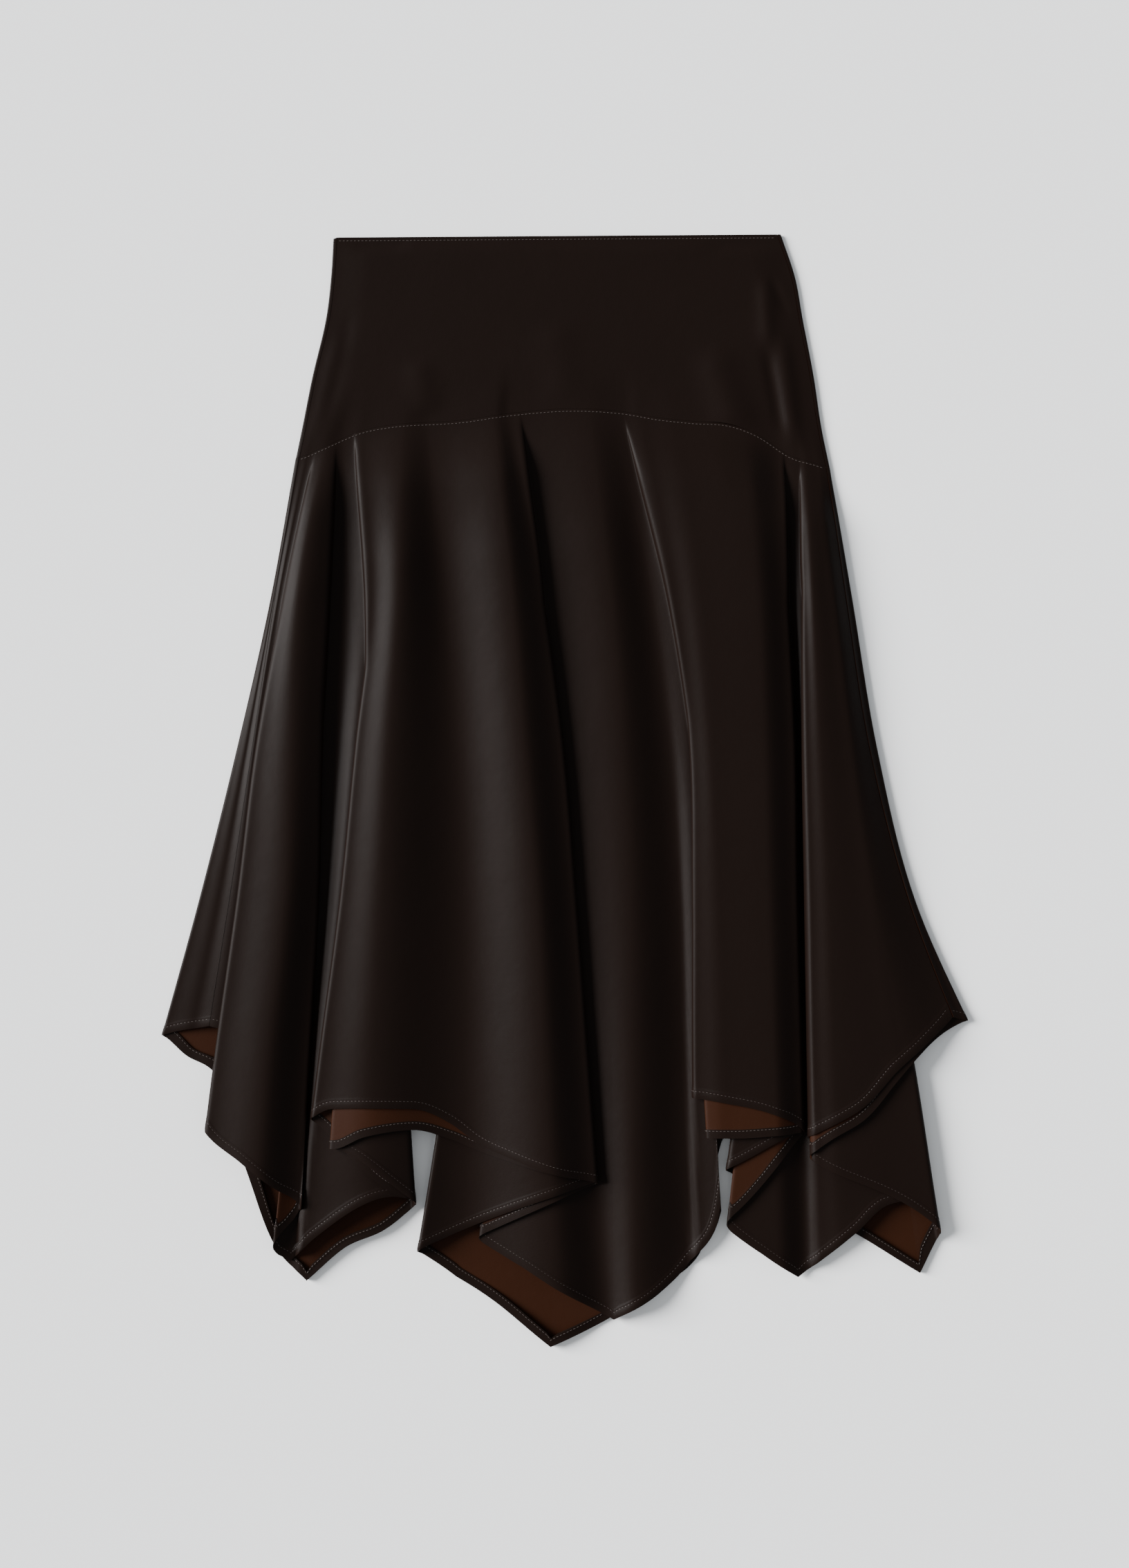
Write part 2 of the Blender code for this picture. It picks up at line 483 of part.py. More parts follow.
def skirt_top(x):
    """Top edge of a lower panel, half a seam gap under the yoke seam."""
    return seam_height(x) - SEAM_GAP / 2


def yoke_bottom(x):
    """Bottom edge of a yoke, half a seam gap over the yoke seam."""
    return seam_height(x) + SEAM_GAP / 2


def seam_places(panel):
    """Places along a lower panel's top edge where the yoke above it gets its columns."""
    edge = np.sort(panel.surface(SKIRT_ROWS, 0.0)[:, 0, 0])
    chosen = [edge[0] + YOKE_STEP]
    for place in edge:
        if place - chosen[-1] > YOKE_STEP and place < edge[-1] - YOKE_STEP:
            chosen.append(place)
    return chosen


def build():
    """Make the four pieces: for each face a lower panel, and a yoke whose columns meet it."""
    for old in list(bpy.data.objects):
        bpy.data.objects.remove(old, do_unlink=True)
    panels = (("front", 1, FRONT_LINES, BACK_LINES), ("back", -1, BACK_LINES, FRONT_LINES))
    for side, face, lines, others in panels:
        skirt = Panel(lines, others, SKIRT_STATIONS, face, flutes, skirt_top)
        between = spread(YOKE_LEFT_SIDE, YOKE_RIGHT_SIDE, seam_places(skirt))
        sides = ([], []) if face > 0 else ([YOKE_LEFT_SIDE], [YOKE_RIGHT_SIDE])
        yoke_lines = [YOKE_LEFT_SEAM, *sides[0], *between, *sides[1], YOKE_RIGHT_SEAM]
        yoke = Panel(yoke_lines, (), YOKE_STATIONS, face, yoke_relief, waist_height, yoke_bottom)
        wall_object(side + "_skirt", skirt, SKIRT_ROWS, FACE_BROWN)
        wall_object(side + "_yoke", yoke, YOKE_ROWS, FACE_BROWN)


build()
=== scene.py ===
"""Midi skirt laid flat: satin panels, yokes, hems and stitches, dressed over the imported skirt.

The cloth is worked out as cross sections of the flattened skirt. A section is a smooth curve
through the fold lines listed in the tables, and each piece of cloth is that curve moved out to
its side of the pair of cloths and lifted by the flutes. Tables are in millimetres in the skirt's
own frame: x to the right as it lies, y up towards the waist from the lowest hem corner, z up.
"""

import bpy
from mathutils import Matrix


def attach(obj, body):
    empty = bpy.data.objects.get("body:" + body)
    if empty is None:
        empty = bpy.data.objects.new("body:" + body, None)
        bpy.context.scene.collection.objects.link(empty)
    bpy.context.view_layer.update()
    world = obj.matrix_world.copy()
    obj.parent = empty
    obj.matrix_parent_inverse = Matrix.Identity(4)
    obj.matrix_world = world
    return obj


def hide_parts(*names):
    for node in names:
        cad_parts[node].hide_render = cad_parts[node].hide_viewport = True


bl_info = {
    "name": "Laid-out Satin Midi Skirt",
    "version": (1, 0, 0),
    "blender": (4, 5, 0),
    "location": "3D View > Sidebar > Skirt",
    "description": "Builds the satin panels, yokes, hems and stitches of a midi skirt laid flat",
    "category": "Object",
}

from collections import namedtuple

import bpy
import numpy as np
from bpy.props import FloatProperty, FloatVectorProperty, PointerProperty

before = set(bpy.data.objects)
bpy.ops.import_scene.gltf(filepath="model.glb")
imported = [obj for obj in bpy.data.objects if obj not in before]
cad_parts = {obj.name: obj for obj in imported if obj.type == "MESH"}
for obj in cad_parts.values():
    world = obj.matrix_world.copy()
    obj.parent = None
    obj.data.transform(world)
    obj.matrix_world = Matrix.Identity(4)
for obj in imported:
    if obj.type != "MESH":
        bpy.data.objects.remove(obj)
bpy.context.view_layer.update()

MM = 0.001
MIDDLE = (-0.66, 447.24, 0.0)   # the frame's origin in the tables' coordinates
PHOTO_WIDTH, PHOTO_HEIGHT = 1633, 2268
MM_A_PIXEL = 0.557              # on the surface that the skirt lies on
PIXEL_X0, PIXEL_Y0 = 818, 1946  # the pixel at x = 0, y = 0 of the tables

LINE, FOLD, SIDE = "line", "fold", "side fold"

SKIRT_STATIONS = (706, 600, 480, 360, 240, 120)
YOKE_STATIONS = (893, 860, 827, 780, 740, 706)

# one fold line or cut line of a panel: what it is, how many turns up the cloth lies after it,
# its x at each station from the top one down, and the height of the hem on it
Line = namedtuple("Line", "name kind turns xa xb xc xd xe xf hem")

FRONT_LINES = (
    Line("left seam", LINE, 0, -216, -234, -252, -270, -289, -306, 258),
    Line("under fold 1", FOLD, 1, -206, -226, -239, -243, -248, -255, 248),
    Line("fold 1 left edge", FOLD, 1.5, -202, -226, -248, -263, -280, -295, 176),
    Line("fold 1 rise", LINE, 1.5, -197, -217, -235, -248, -256, -262, 151),
    Line("fold 1 crest", LINE, 1.5, -194, -202, -213, -222, -228, -233, 129),
    Line("fold 1 right edge", FOLD, 1, -188, -192, -195, -198, -205, -212, 114),
    Line("inlay 1 left edge", FOLD, 0, -183, -188, -198, -209, -219, -231, 84),
    Line("front corner 1", LINE, 0, -180, -185, -193, -202, -211, -218, 69),
    Line("inlay 1", LINE, 0, -179, -182, -185, -189, -195, -201, 87),
    Line("inlay 1 right", LINE, 0, -177, -173, -163, -152, -144, -138, 122),
    Line("inlay 1 right edge", FOLD, 1, -175, -165, -151, -140, -131, -124, 120),
    Line("fold 2 left edge", FOLD, 2, -160, -155, -168, -180, -196, -211, 183),
    Line("fold 2 rise", LINE, 2, -156, -149, -158, -169, -182, -194, 193),
    Line("fold 2 crest", LINE, 2, -144, -137, -141, -148, -156, -164, 194),
    Line("fold 2 shoulder", LINE, 2, -121, -119, -121, -121, -122, -123, 193),
    Line("valley", LINE, 2, -108, -102, -99, -96, -94, -92, 181),
    Line("fold 3 rise", LINE, 2, -91, -84, -79, -76, -73, -70, 165),
    Line("fold 3", LINE, 2, -71, -60, -53, -49, -46, -42, 153),
    Line("fold 3 crest", LINE, 2, -56, -38, -26, -17, -8, 0, 139),
    Line("fold 3 right edge", FOLD, 1, -36, -18, -2, 8, 17, 26, 133),
    Line("centre left edge", FOLD, 0, -26, -18, -26, -37, -51, -66, 89),
    Line("centre 1", LINE, 0, -16, -10, -12, -17, -24, -31, 65),
    Line("centre 2", LINE, 0, -6, 2, 4, 2, -1, -6, 49),
    Line("front corner 2", LINE, 0, 18, 26, 31, 34, 37, 38, 22),
    Line("centre 3", LINE, 0, 30, 43, 53, 60, 66, 71, 43),
    Line("centre 4", LINE, 0, 40, 58, 72, 83, 92, 98, 69),
    Line("centre point", LINE, 0, 46, 69, 87, 100, 113, 124, 110),
    Line("centre rise", LINE, 0, 47, 72, 91, 106, 116, 125, 162),
    Line("centre right edge", FOLD, 1, 50, 79, 103, 118, 126, 132, 199),
    Line("fold 5 left edge", FOLD, 2, 65, 87, 100, 102, 102, 103, 201),
    Line("fold 5 rise", LINE, 2, 82, 101, 116, 124, 128, 130, 197),
    Line("fold 5 crest", LINE, 2, 125, 144, 153, 159, 165, 169, 188),
    Line("fold 5 fall", LINE, 2, 149, 163, 171, 176, 179, 183, 182),
    Line("fold 5 right edge", FOLD, 1, 171, 178, 184, 186, 189, 192, 175),
    Line("inlay 2 left edge", FOLD, 0, 180, 178, 168, 157, 144, 131, 102),
    Line("inlay 2", LINE, 0, 181.5, 181, 177, 171, 165, 160, 75),
    Line("front corner 3", LINE, 0, 182.5, 184, 187, 188, 187, 187, 56),
    Line("inlay 2 rise", LINE, 0, 183, 187, 202, 213, 223, 231, 92),
    Line("inlay 2 right", LINE, 0, 184, 189, 213, 229, 245, 257, 114),
    Line("inlay 2 right edge", FOLD, 1, 185, 192, 222, 248, 270, 285, 120),
    Line("fold 6 left edge", FOLD, 2, 193, 190, 190, 192, 194, 196, 168),
    Line("fold 6 rise", LINE, 2, 196, 198, 203, 207, 211, 214, 179),
    Line("fold 6", LINE, 2, 199, 207, 217, 226, 235, 244, 194),
    Line("fold 6 crest", LINE, 2, 202, 214, 228, 244, 263, 282, 223),
    Line("fold 6 fall", LINE, 1.6, 205, 218, 235, 257, 285, 313, 240),
    Line("right seam", LINE, 1, 210, 225, 244, 275, 321, 369, 265),
)

BACK_LINES = (
    Line("left seam", LINE, 0, -216, -234, -252, -270, -289, -306, 258),
    Line("left side", SIDE, 0, -219, -238, -265, -295, -328, -361, 250),
    Line("left hem", LINE, 0, -216, -233, -254, -277, -304, -332, 234),
    Line("left hem end", LINE, 0, -213, -226, -241, -258, -277, -297, 218),
    Line("back rise", LINE, 0, -206, -215, -226, -237, -247, -256, 137),
    Line("back dip", LINE, 0, -194, -202, -211, -219, -227, -232, 81),
    Line("back corner 1", LINE, 0, -186, -192, -197, -202, -205, -207, 53),
    Line("inlay 1", LINE, 0, -180, -179, -178, -177, -177, -177, 80),
    Line("inlay 1 right", LINE, 0, -177, -170, -163, -155, -149, -145, 95),
    Line("inlay 1 right edge", FOLD, 1, -175, -165, -151, -139, -129, -121, 114),
    Line("fold 2 left edge", FOLD, 2, -160, -155, -167, -177, -184, -192, 161),
    Line("fold 2 rise", LINE, 2, -156, -149, -158, -168, -180, -188, 161),
    Line("fold 2 crest", LINE, 2, -144, -137, -141, -148, -156, -164, 171),
    Line("fold 2 shoulder", LINE, 2, -121, -119, -121, -121, -122, -123, 176),
    Line("valley", LINE, 2, -108, -102, -99, -96, -94, -92, 168),
    Line("fold 3 rise", LINE, 2, -91, -84, -79, -76, -73, -70, 159),
    Line("fold 3", LINE, 2, -71, -60, -53, -49, -46, -42, 150),
    Line("fold 3 crest", LINE, 2, -56, -38, -26, -17, -8, 0, 139),
    Line("fold 3 right edge", FOLD, 1, -36, -18, -2, 8, 17, 26, 134),
    Line("centre left edge", FOLD, 0, -26, -18, -34, -62, -91, -111, 79),
    Line("centre 1", LINE, 0, -21, -13, -22, -37, -56, -77, 56),
    Line("centre 2", LINE, 0, -13, -7, -12, -21, -33, -48, 37),
    Line("back corner 2", LINE, 0, -2, 5, 6, 4, 0, -6, 0),
    Line("centre 3", LINE, 0, 12, 19, 23, 27, 29, 30, 20),
    Line("centre 4", LINE, 0, 29, 41, 50, 58, 64, 69, 47),
    Line("centre 5", LINE, 0, 41, 59, 75, 87, 97, 105, 75),
    Line("centre right edge", FOLD, 1, 50, 79, 103, 118, 126, 132, 170),
    Line("fold 5 left edge", FOLD, 2, 65, 87, 100, 103, 108, 115, 169),
    Line("fold 5 rise", LINE, 2, 82, 101, 116, 125, 131, 137, 169),
    Line("fold 5 crest", LINE, 2, 125, 144, 153, 159, 165, 169, 171),
    Line("fold 5 fall", LINE, 2, 149, 163, 171, 176, 179, 183, 172),
    Line("fold 5 right edge", FOLD, 1, 171, 178, 184, 186, 189, 192, 173),
    Line("inlay 2 left edge", FOLD, 0, 180, 178, 168, 156, 143, 126, 144),
    Line("inlay 2", LINE, 0, 182, 183, 181, 180, 179, 179, 118),
    Line("inlay 2 rise", LINE, 0, 183, 187, 202, 213, 223, 231, 91),
    Line("back corner 3", LINE, 0, 184, 189, 214, 238, 258, 276, 59),
    Line("inlay 2 right edge", FOLD, 1, 185, 192, 222, 252, 277, 296, 90),
    Line("fold 6 left edge", FOLD, 2, 193, 190, 190, 192, 194, 196, 152),
    Line("fold 6 rise", LINE, 2, 196, 198, 203, 207, 211, 214, 168),
    Line("fold 6", LINE, 2, 199, 207, 217, 226, 235, 244, 184),
    Line("fold 6 crest", LINE, 2, 202, 214, 228, 244, 263, 282, 216),
    Line("fold 6 fall", LINE, 1.6, 205, 218, 235, 257, 285, 313, 237),
    Line("right side", SIDE, 0.5, 213, 231, 251, 281, 334, 387, 262),
    Line("right seam", LINE, 1, 210, 225, 244, 275, 321, 369, 265),
)

YOKE_LEFT_SEAM = Line("left seam", LINE, 0, -184, -186, -190, -201, -209, -216, 0)
YOKE_LEFT_SIDE = Line("left side", SIDE, 0, -187, -189, -193, -204, -212, -219, 0)
YOKE_RIGHT_SIDE = Line("right side", SIDE, 0, 174, 185, 191, 200, 206, 213, 0)
YOKE_RIGHT_SEAM = Line("right seam", LINE, 0, 171, 182, 188, 197, 203, 210, 0)

# one ridge or valley of the flutes: its x at each station, and its height over the layer under
# it at the yoke seam, just under it, high on the skirt, half way down and near the hem
Ridge = namedtuple("Ridge", "name xa xb xc xd xe xf seam under high middle low")

RIDGES = (
    Ridge("left edge", -219, -238, -265, -295, -328, -361, 0, 0, 0, 0, 0),
    Ridge("left strip", -216, -235, -257, -279, -303, -325, 0.5, 1, 2, 2.5, 3),
    Ridge("fold 1 left edge", -210, -231, -250, -264, -281, -296, 1, 2, 4, 6, 7),
    Ridge("fold 1 crest", -197, -213, -219, -223, -237, -247, 1.6, 4.5, 10, 13, 14),
    Ridge("fold 1 foot", -179, -178, -184, -194, -205, -213, 0.4, 0.4, 0.6, 1, 1.5),
    Ridge("fold 2 left edge", -162, -156, -168, -180, -195, -210, 1, 2.6, 6, 8, 8),
    Ridge("fold 2 crest", -132, -133, -141, -147, -154, -158, 1.6, 5, 12, 14.5, 15),
    Ridge("valley 2", -106, -96, -87, -82, -80, -80, 0.4, 0.5, 0.8, 1, 1),
    Ridge("fold 3 crest", -52, -42, -32, -22, -16, -10, 1.8, 5, 11, 14, 15),
    Ridge("fold 3 right edge", -37, -16, -3, 7, 16, 25, 0.4, 0.6, 2, 3, 3),
    Ridge("centre crest", 24, 37, 47, 53, 55, 56, 1.6, 4.4, 9.5, 11, 12),
    Ridge("centre foot", 54, 69, 84, 93, 97, 101, 0.4, 0.4, 0.5, 0.5, 1),
    Ridge("fold 5 left edge", 68, 87, 100, 102, 103, 104, 1, 2, 4, 5, 5),
    Ridge("fold 5 rise", 93, 107, 117, 122, 125, 127, 1.6, 3.6, 7, 8, 8),
    Ridge("fold 5 crest", 146, 154, 159, 162, 166, 170, 1.8, 4.6, 8, 8.5, 9),
    Ridge("fold 5 right edge", 172, 179, 184, 187, 190, 193, 0.4, 0.4, 0.6, 1, 1),
    Ridge("fold 6 left edge", 188, 191, 193, 196, 198, 202, 1, 1.6, 4.6, 6, 6),
    Ridge("fold 6 crest", 193, 198, 204, 210, 214, 220, 1.4, 2.6, 7, 8, 8),
    Ridge("fold 6 middle", 203, 215, 229, 246, 272, 298, 1, 1.8, 4.5, 5.5, 5.5),
    Ridge("right edge", 213, 231, 251, 281, 334, 387, 0, 0, 0, 0, 0),
)
RIDGE_DEPTHS = (0, 28, 110, 350, 590)   # distances below the yoke seam where the heights are given

# soft creases in the yoke: both ends, width across and height, negative for a trough
Crease = namedtuple("Crease", "name x1 y1 x2 y2 width height")

YOKE_CREASES = (
    Crease("left roll", -184, 812, -207, 730, 8, 2.6),
    Crease("left trough", -174, 830, -194, 745, 6, -1.0),
    Crease("left dip under the waist", -172, 884, -128, 886, 5, -0.9),
    Crease("right dip under the waist", 112, 884, 168, 885, 5, -0.9),
    Crease("right upper ridge", 161, 856, 163, 806, 7, 1.6),
    Crease("right short trough", 166, 859, 180, 829, 4, -1.2),
    Crease("right ridge", 175, 812, 185, 728, 7, 2.4),
    Crease("right long trough", 162, 800, 174, 736, 5, -1.5),
    Crease("right inner ridge", 118, 800, 138, 736, 15, 2.2),
    Crease("middle ridge", -10, 822, 0, 760, 16, 1.0),
    Crease("left inner ridge", -120, 792, -110, 752, 11, 1.1),
)

# the curved yoke seam, left to right
SEAM_X = (-219, -211, -165, -139, -82, -40, 3, 45, 74, 102, 130, 153, 182, 202, 213)
SEAM_Y = (714, 716, 736, 741, 745, 751, 754, 752, 747, 744, 742, 734, 716, 710, 706)
WAIST_LEFT, WAIST_RIGHT = 892.0, 894.5

# how the section is drawn, in millimetres
SEAM_GAP = 0.14       # space left between two pieces at a seam
RIGHT_GAP = 0.4       # the same at the right side seam, where the cloth slopes
TURN = 5.0            # how far before a fold line its first guide point lies, at most
LEAST_FOLD = 0.6      # least distance between the two fold lines of a fold
ROUNDING = 1.8        # width of the bell that rounds the turns
PACE = 0.25           # pace at which a section's path is walked
SECTION_STEP = 6.0    # distance between two stored sections
SECTION_ABOVE = 60.0  # how far above the top station the stored sections begin
SIDE_ROLL = 0.2       # extra height of the cloth that has rolled over a side fold
LIFT_LENGTH = 55.0    # distance below the yoke seam over which the layers open up
YOKE_FADE = 45.0      # distance above the yoke seam over which the flutes die out
YOKE_SWELL = 1.6      # height of the yoke's middle over its sides
YOKE_TAPER = 0.0012   # share by which the yoke narrows for each millimetre above its seam
CORNER = 4.0          # rounding of the left waist corner
COLUMN_PITCH = 4.2    # distance between two columns of the mesh, at most
TURN_COLUMNS = 4      # columns for each step of a turn
OPENING_DEPTH = 240.0 # depth below the seam down to which rows lie at even depths
OPENING_ROWS = 38
LOWER_ROWS = 30
YOKE_ROWS = 60
HEM_ROWS = (9.0, 7.8, 7.0, 6.2, 5.4, 3.5, 1.6, 0.6, 0.0)   # distances of the last rows from the hem
HEM_SWELL = 0.35      # how far the doubled hem stands out
HEM_LEVEL = 170.0     # height of the section along which the hem's curve is worked out
CORNER_WORD = "corner"  # in the name of a line on which the hem turns sharply
LOWEST = 1.1            # height of the middle of the lowest cloth's outer wall over the floor


class ClothSettings(bpy.types.PropertyGroup):
    wall: FloatProperty(
        name="Cloth thickness", description="Thickness of one layer of satin, millimetres",
        default=0.6, min=0.2, max=1.0)
    pair: FloatProperty(
        name="Pair gap", description="Distance between the front's and the back's cloth, millimetres",
        default=1.6, min=0.8, max=3.0)
    flutes: FloatProperty(
        name="Flutes", description="Height of the flutes as a share of their table's",
        default=1.05, min=0.0, max=1.5)
    rise: FloatProperty(
        name="Rise of a fold", description="Height of the pair of cloths from one turn over to the next, millimetres",
        default=4.4, min=2.0, max=8.0)
    hem_width: FloatProperty(
        name="Hem width", description="Width of the turned hem, millimetres",
        default=7.0, min=3.0, max=20.0)


class SatinSettings(bpy.types.PropertyGroup):
    face: FloatVectorProperty(
        name="Face", description="Colour of the satin's face", subtype="COLOR", size=4,
        default=(0.0054, 0.0028, 0.0020, 1.0), min=0.0, max=1.0)
    face_lit: FloatVectorProperty(
        name="Face, lit", description="Colour of the face's sheen", subtype="COLOR", size=4,
        default=(0.42, 0.31, 0.27, 1.0), min=0.0, max=1.0)
    inner: FloatVectorProperty(
        name="Inner side", description="Colour of the cloth's rusty inner side", subtype="COLOR", size=4,
        default=(0.0165, 0.0047, 0.0014, 1.0), min=0.0, max=1.0)
    thread: FloatVectorProperty(
        name="Thread", description="Colour of the sewing thread", subtype="COLOR", size=4,
        default=(0.030, 0.020, 0.017, 1.0), min=0.0, max=1.0)


class SewingSettings(bpy.types.PropertyGroup):
    stitch: FloatProperty(
        name="Stitch", description="Length of one stitch, millimetres", default=2.3, min=1.0, max=5.0)
    pitch: FloatProperty(
        name="Stitch pitch", description="Distance from one stitch to the next, millimetres",
        default=3.0, min=1.5, max=6.0)
    thread: FloatProperty(
        name="Thread", description="Thickness of the thread, millimetres", default=0.45, min=0.1, max=1.0)


class StageSettings(bpy.types.PropertyGroup):
    floor: FloatVectorProperty(
        name="Floor", description="Colour of the pale floor", subtype="COLOR", size=4,
        default=(0.82, 0.82, 0.82, 1.0), min=0.0, max=1.0)
    fill: FloatProperty(
        name="Fill", description="Strength of the light from all round", default=0.64, min=0.0, max=2.0)
    key: FloatProperty(
        name="Key", description="Strength of the soft light from the upper left", default=12.6, min=0.0, max=20.0)
    key_width: FloatProperty(
        name="Key width", description="Angle over which the soft light spreads",
        default=0.55, min=0.0, max=2.0, subtype="ANGLE")
    key_height: FloatProperty(
        name="Key height", description="Angle of the soft light above the floor",
        default=0.45, min=0.1, max=1.5, subtype="ANGLE")
    key_side: FloatProperty(
        name="Key side", description="Direction the soft light comes from, turned round from below",
        default=-1.85, min=-3.2, max=3.2, subtype="ANGLE")
    camera_height: FloatProperty(
        name="Camera height", description="Height of the camera above the floor",
        default=2.2, min=0.8, max=6.0, unit="LENGTH")


def smooth(t):
    """Ease from 0 to 1 with level ends: 3t^2 - 2t^3."""
    t = np.clip(t, 0.0, 1.0)
    return t * t * (3.0 - 2.0 * t)


def along(stations, values, y):
    """Smooth curve through values given at falling stations, read at y and straight beyond.

    Between two stations it is the cubic whose end slopes are the means of the chords beside
    each station. values is (lines, stations) and y is (lines, ...).
    """
    stations = np.asarray(stations, float)
    values = np.asarray(values, float)
    steps = np.diff(stations)
    chords = np.diff(values, axis=1) / steps
    slopes = np.concatenate([chords[:, :1], (chords[:, 1:] + chords[:, :-1]) / 2, chords[:, -1:]], axis=1)
    inside = np.clip(y, stations[-1], stations[0])
    index = np.clip(np.searchsorted(-stations, -inside, side="right") - 1, 0, len(steps) - 1)
    line = np.arange(len(values)).reshape((-1,) + (1,) * (np.ndim(y) - 1))
    step = steps[index]
    t = (inside - stations[index]) / step
    start, end = values[line, index], values[line, index + 1]
    rise, fall = slopes[line, index] * step, slopes[line, index + 1] * step
    curve = (start * (1 + 2 * t) * (1 - t) ** 2 + end * t * t * (3 - 2 * t)
             + rise * t * (1 - t) ** 2 - fall * t * t * (1 - t))
    beyond = y - inside
    return curve + beyond * np.where(beyond > 0, slopes[line, 0], slopes[line, -1])


def edge_curve(length, height, broken, place):
    """Height of an edge along the cloth: cubics through the nodes, broken only at corners.

    At a smooth node the slope is the mean of the two chords, each weighed with the other's
    length, at most twice the flatter one and level at a turn, so the curve never overshoots; at
    a corner each side keeps its own chord.
    """
    steps = np.maximum(np.diff(length), 1e-6)
    chords = np.diff(height) / steps
    mean = (chords[:-1] * steps[1:] + chords[1:] * steps[:-1]) / (steps[1:] + steps[:-1])
    flatter = 2 * np.minimum(np.abs(chords[:-1]), np.abs(chords[1:])) * (chords[:-1] * chords[1:] > 0)
    smoothed = np.concatenate([chords[:1], np.clip(mean, -flatter, flatter), chords[-1:]])
    start = np.where(broken[:-1], chords, smoothed[:-1])
    stop = np.where(broken[1:], chords, smoothed[1:])
    index = np.clip(np.searchsorted(length, place, side="right") - 1, 0, len(steps) - 1)
    step = steps[index]
    t = np.clip((place - length[index]) / step, 0, 1)
    return (height[index] * (1 + 2 * t) * (1 - t) ** 2 + height[index + 1] * t * t * (3 - 2 * t)
            + start[index] * step * t * (1 - t) ** 2 - stop[index] * step * t * t * (1 - t))


def seam_height(x):
    """Height of the yoke seam at x, a smooth curve through its points."""
    x = np.asarray(x, float)
    flat = along(SEAM_X[::-1], np.array([SEAM_Y[::-1]]), x.reshape(1, -1))
    return flat.reshape(x.shape)


def flutes(x, y):
    """Height of the flutes at a place on the lower skirt.

    Between two neighbouring ridge or valley lines the height eases from one to the other, and
    each line's own height grows with the distance below the yoke seam.
    """
    places = along(SKIRT_STATIONS, [ridge[1:7] for ridge in RIDGES], np.broadcast_to(y, (len(RIDGES),) + y.shape))
    depth = seam_height(np.clip(x, SEAM_X[0], SEAM_X[-1])) - y
    heights = [np.interp(depth, RIDGE_DEPTHS, ridge[7:]) for ridge in RIDGES]
    result = np.zeros_like(x)
    for left in range(len(RIDGES) - 1):
        width = np.maximum(places[left + 1] - places[left], 0.1)
        t = (x - places[left]) / width
        between = heights[left] + (heights[left + 1] - heights[left]) * smooth(t)
        result = np.where((t >= 0) & (t < 1), between, result)
    return result * bpy.context.scene.skirt_cloth.flutes


def yoke_relief(x, y):
    """Height of the yoke over a flat layer: the flutes dying out upwards, and its own creases.

    A crease is a bell across its line that fades towards both of its ends.
    """
    left = along(YOKE_STATIONS, [YOKE_LEFT_SIDE[3:9]], y[None])[0]
    right = along(YOKE_STATIONS, [YOKE_RIGHT_SIDE[3:9]], y[None])[0]
    share = np.clip((x - left) / (right - left), 0, 1)
    above = np.maximum(y - seam_height(np.clip(x, SEAM_X[0], SEAM_X[-1])), 0)
    foot = np.clip(x * (1 + YOKE_TAPER * above), SEAM_X[0], SEAM_X[-1])
    relief = flutes(foot, seam_height(foot)) * (1 - smooth(above / YOKE_FADE))
    rim = smooth(share * 12) * smooth((1 - share) * 12)
    swell = YOKE_SWELL * rim * smooth(above / YOKE_FADE) * smooth((WAIST_LEFT - y) / 12)
    relief = relief + swell
    for crease in YOKE_CREASES:
        run = np.array([crease.x2 - crease.x1, crease.y2 - crease.y1], float)
        length = np.hypot(*run)
        run /= length
        ahead = ((x - crease.x1) * run[0] + (y - crease.y1) * run[1]) / length
        across = (x - crease.x1) * run[1] - (y - crease.y1) * run[0]
        ends = smooth((ahead + 0.15) / 0.4) * smooth((1.15 - ahead) / 0.4)
        relief = relief + crease.height * ends * rim * np.exp(-(across / crease.width) ** 2)
    return np.maximum(relief, 0.0)


def waist_height(x):
    """Height of the waist edge, which rises a little to the right and is rounded at the left."""
    left, right = YOKE_LEFT_SIDE.xa, YOKE_RIGHT_SIDE.xa
    edge = WAIST_LEFT + (WAIST_RIGHT - WAIST_LEFT) * (x - left) / (right - left)
    near = np.clip((left + CORNER - x) / CORNER, 0, 1)
    return edge - CORNER * (1 - np.sqrt(1 - near ** 2 * 0.9))


def skirt_top(x):
    """Top edge of a lower panel, half a seam gap under the yoke seam."""
    return seam_height(x) - SEAM_GAP / 2


def yoke_bottom(x):
    """Bottom edge of a yoke, half a seam gap over the yoke seam."""
    return seam_height(x) + SEAM_GAP / 2


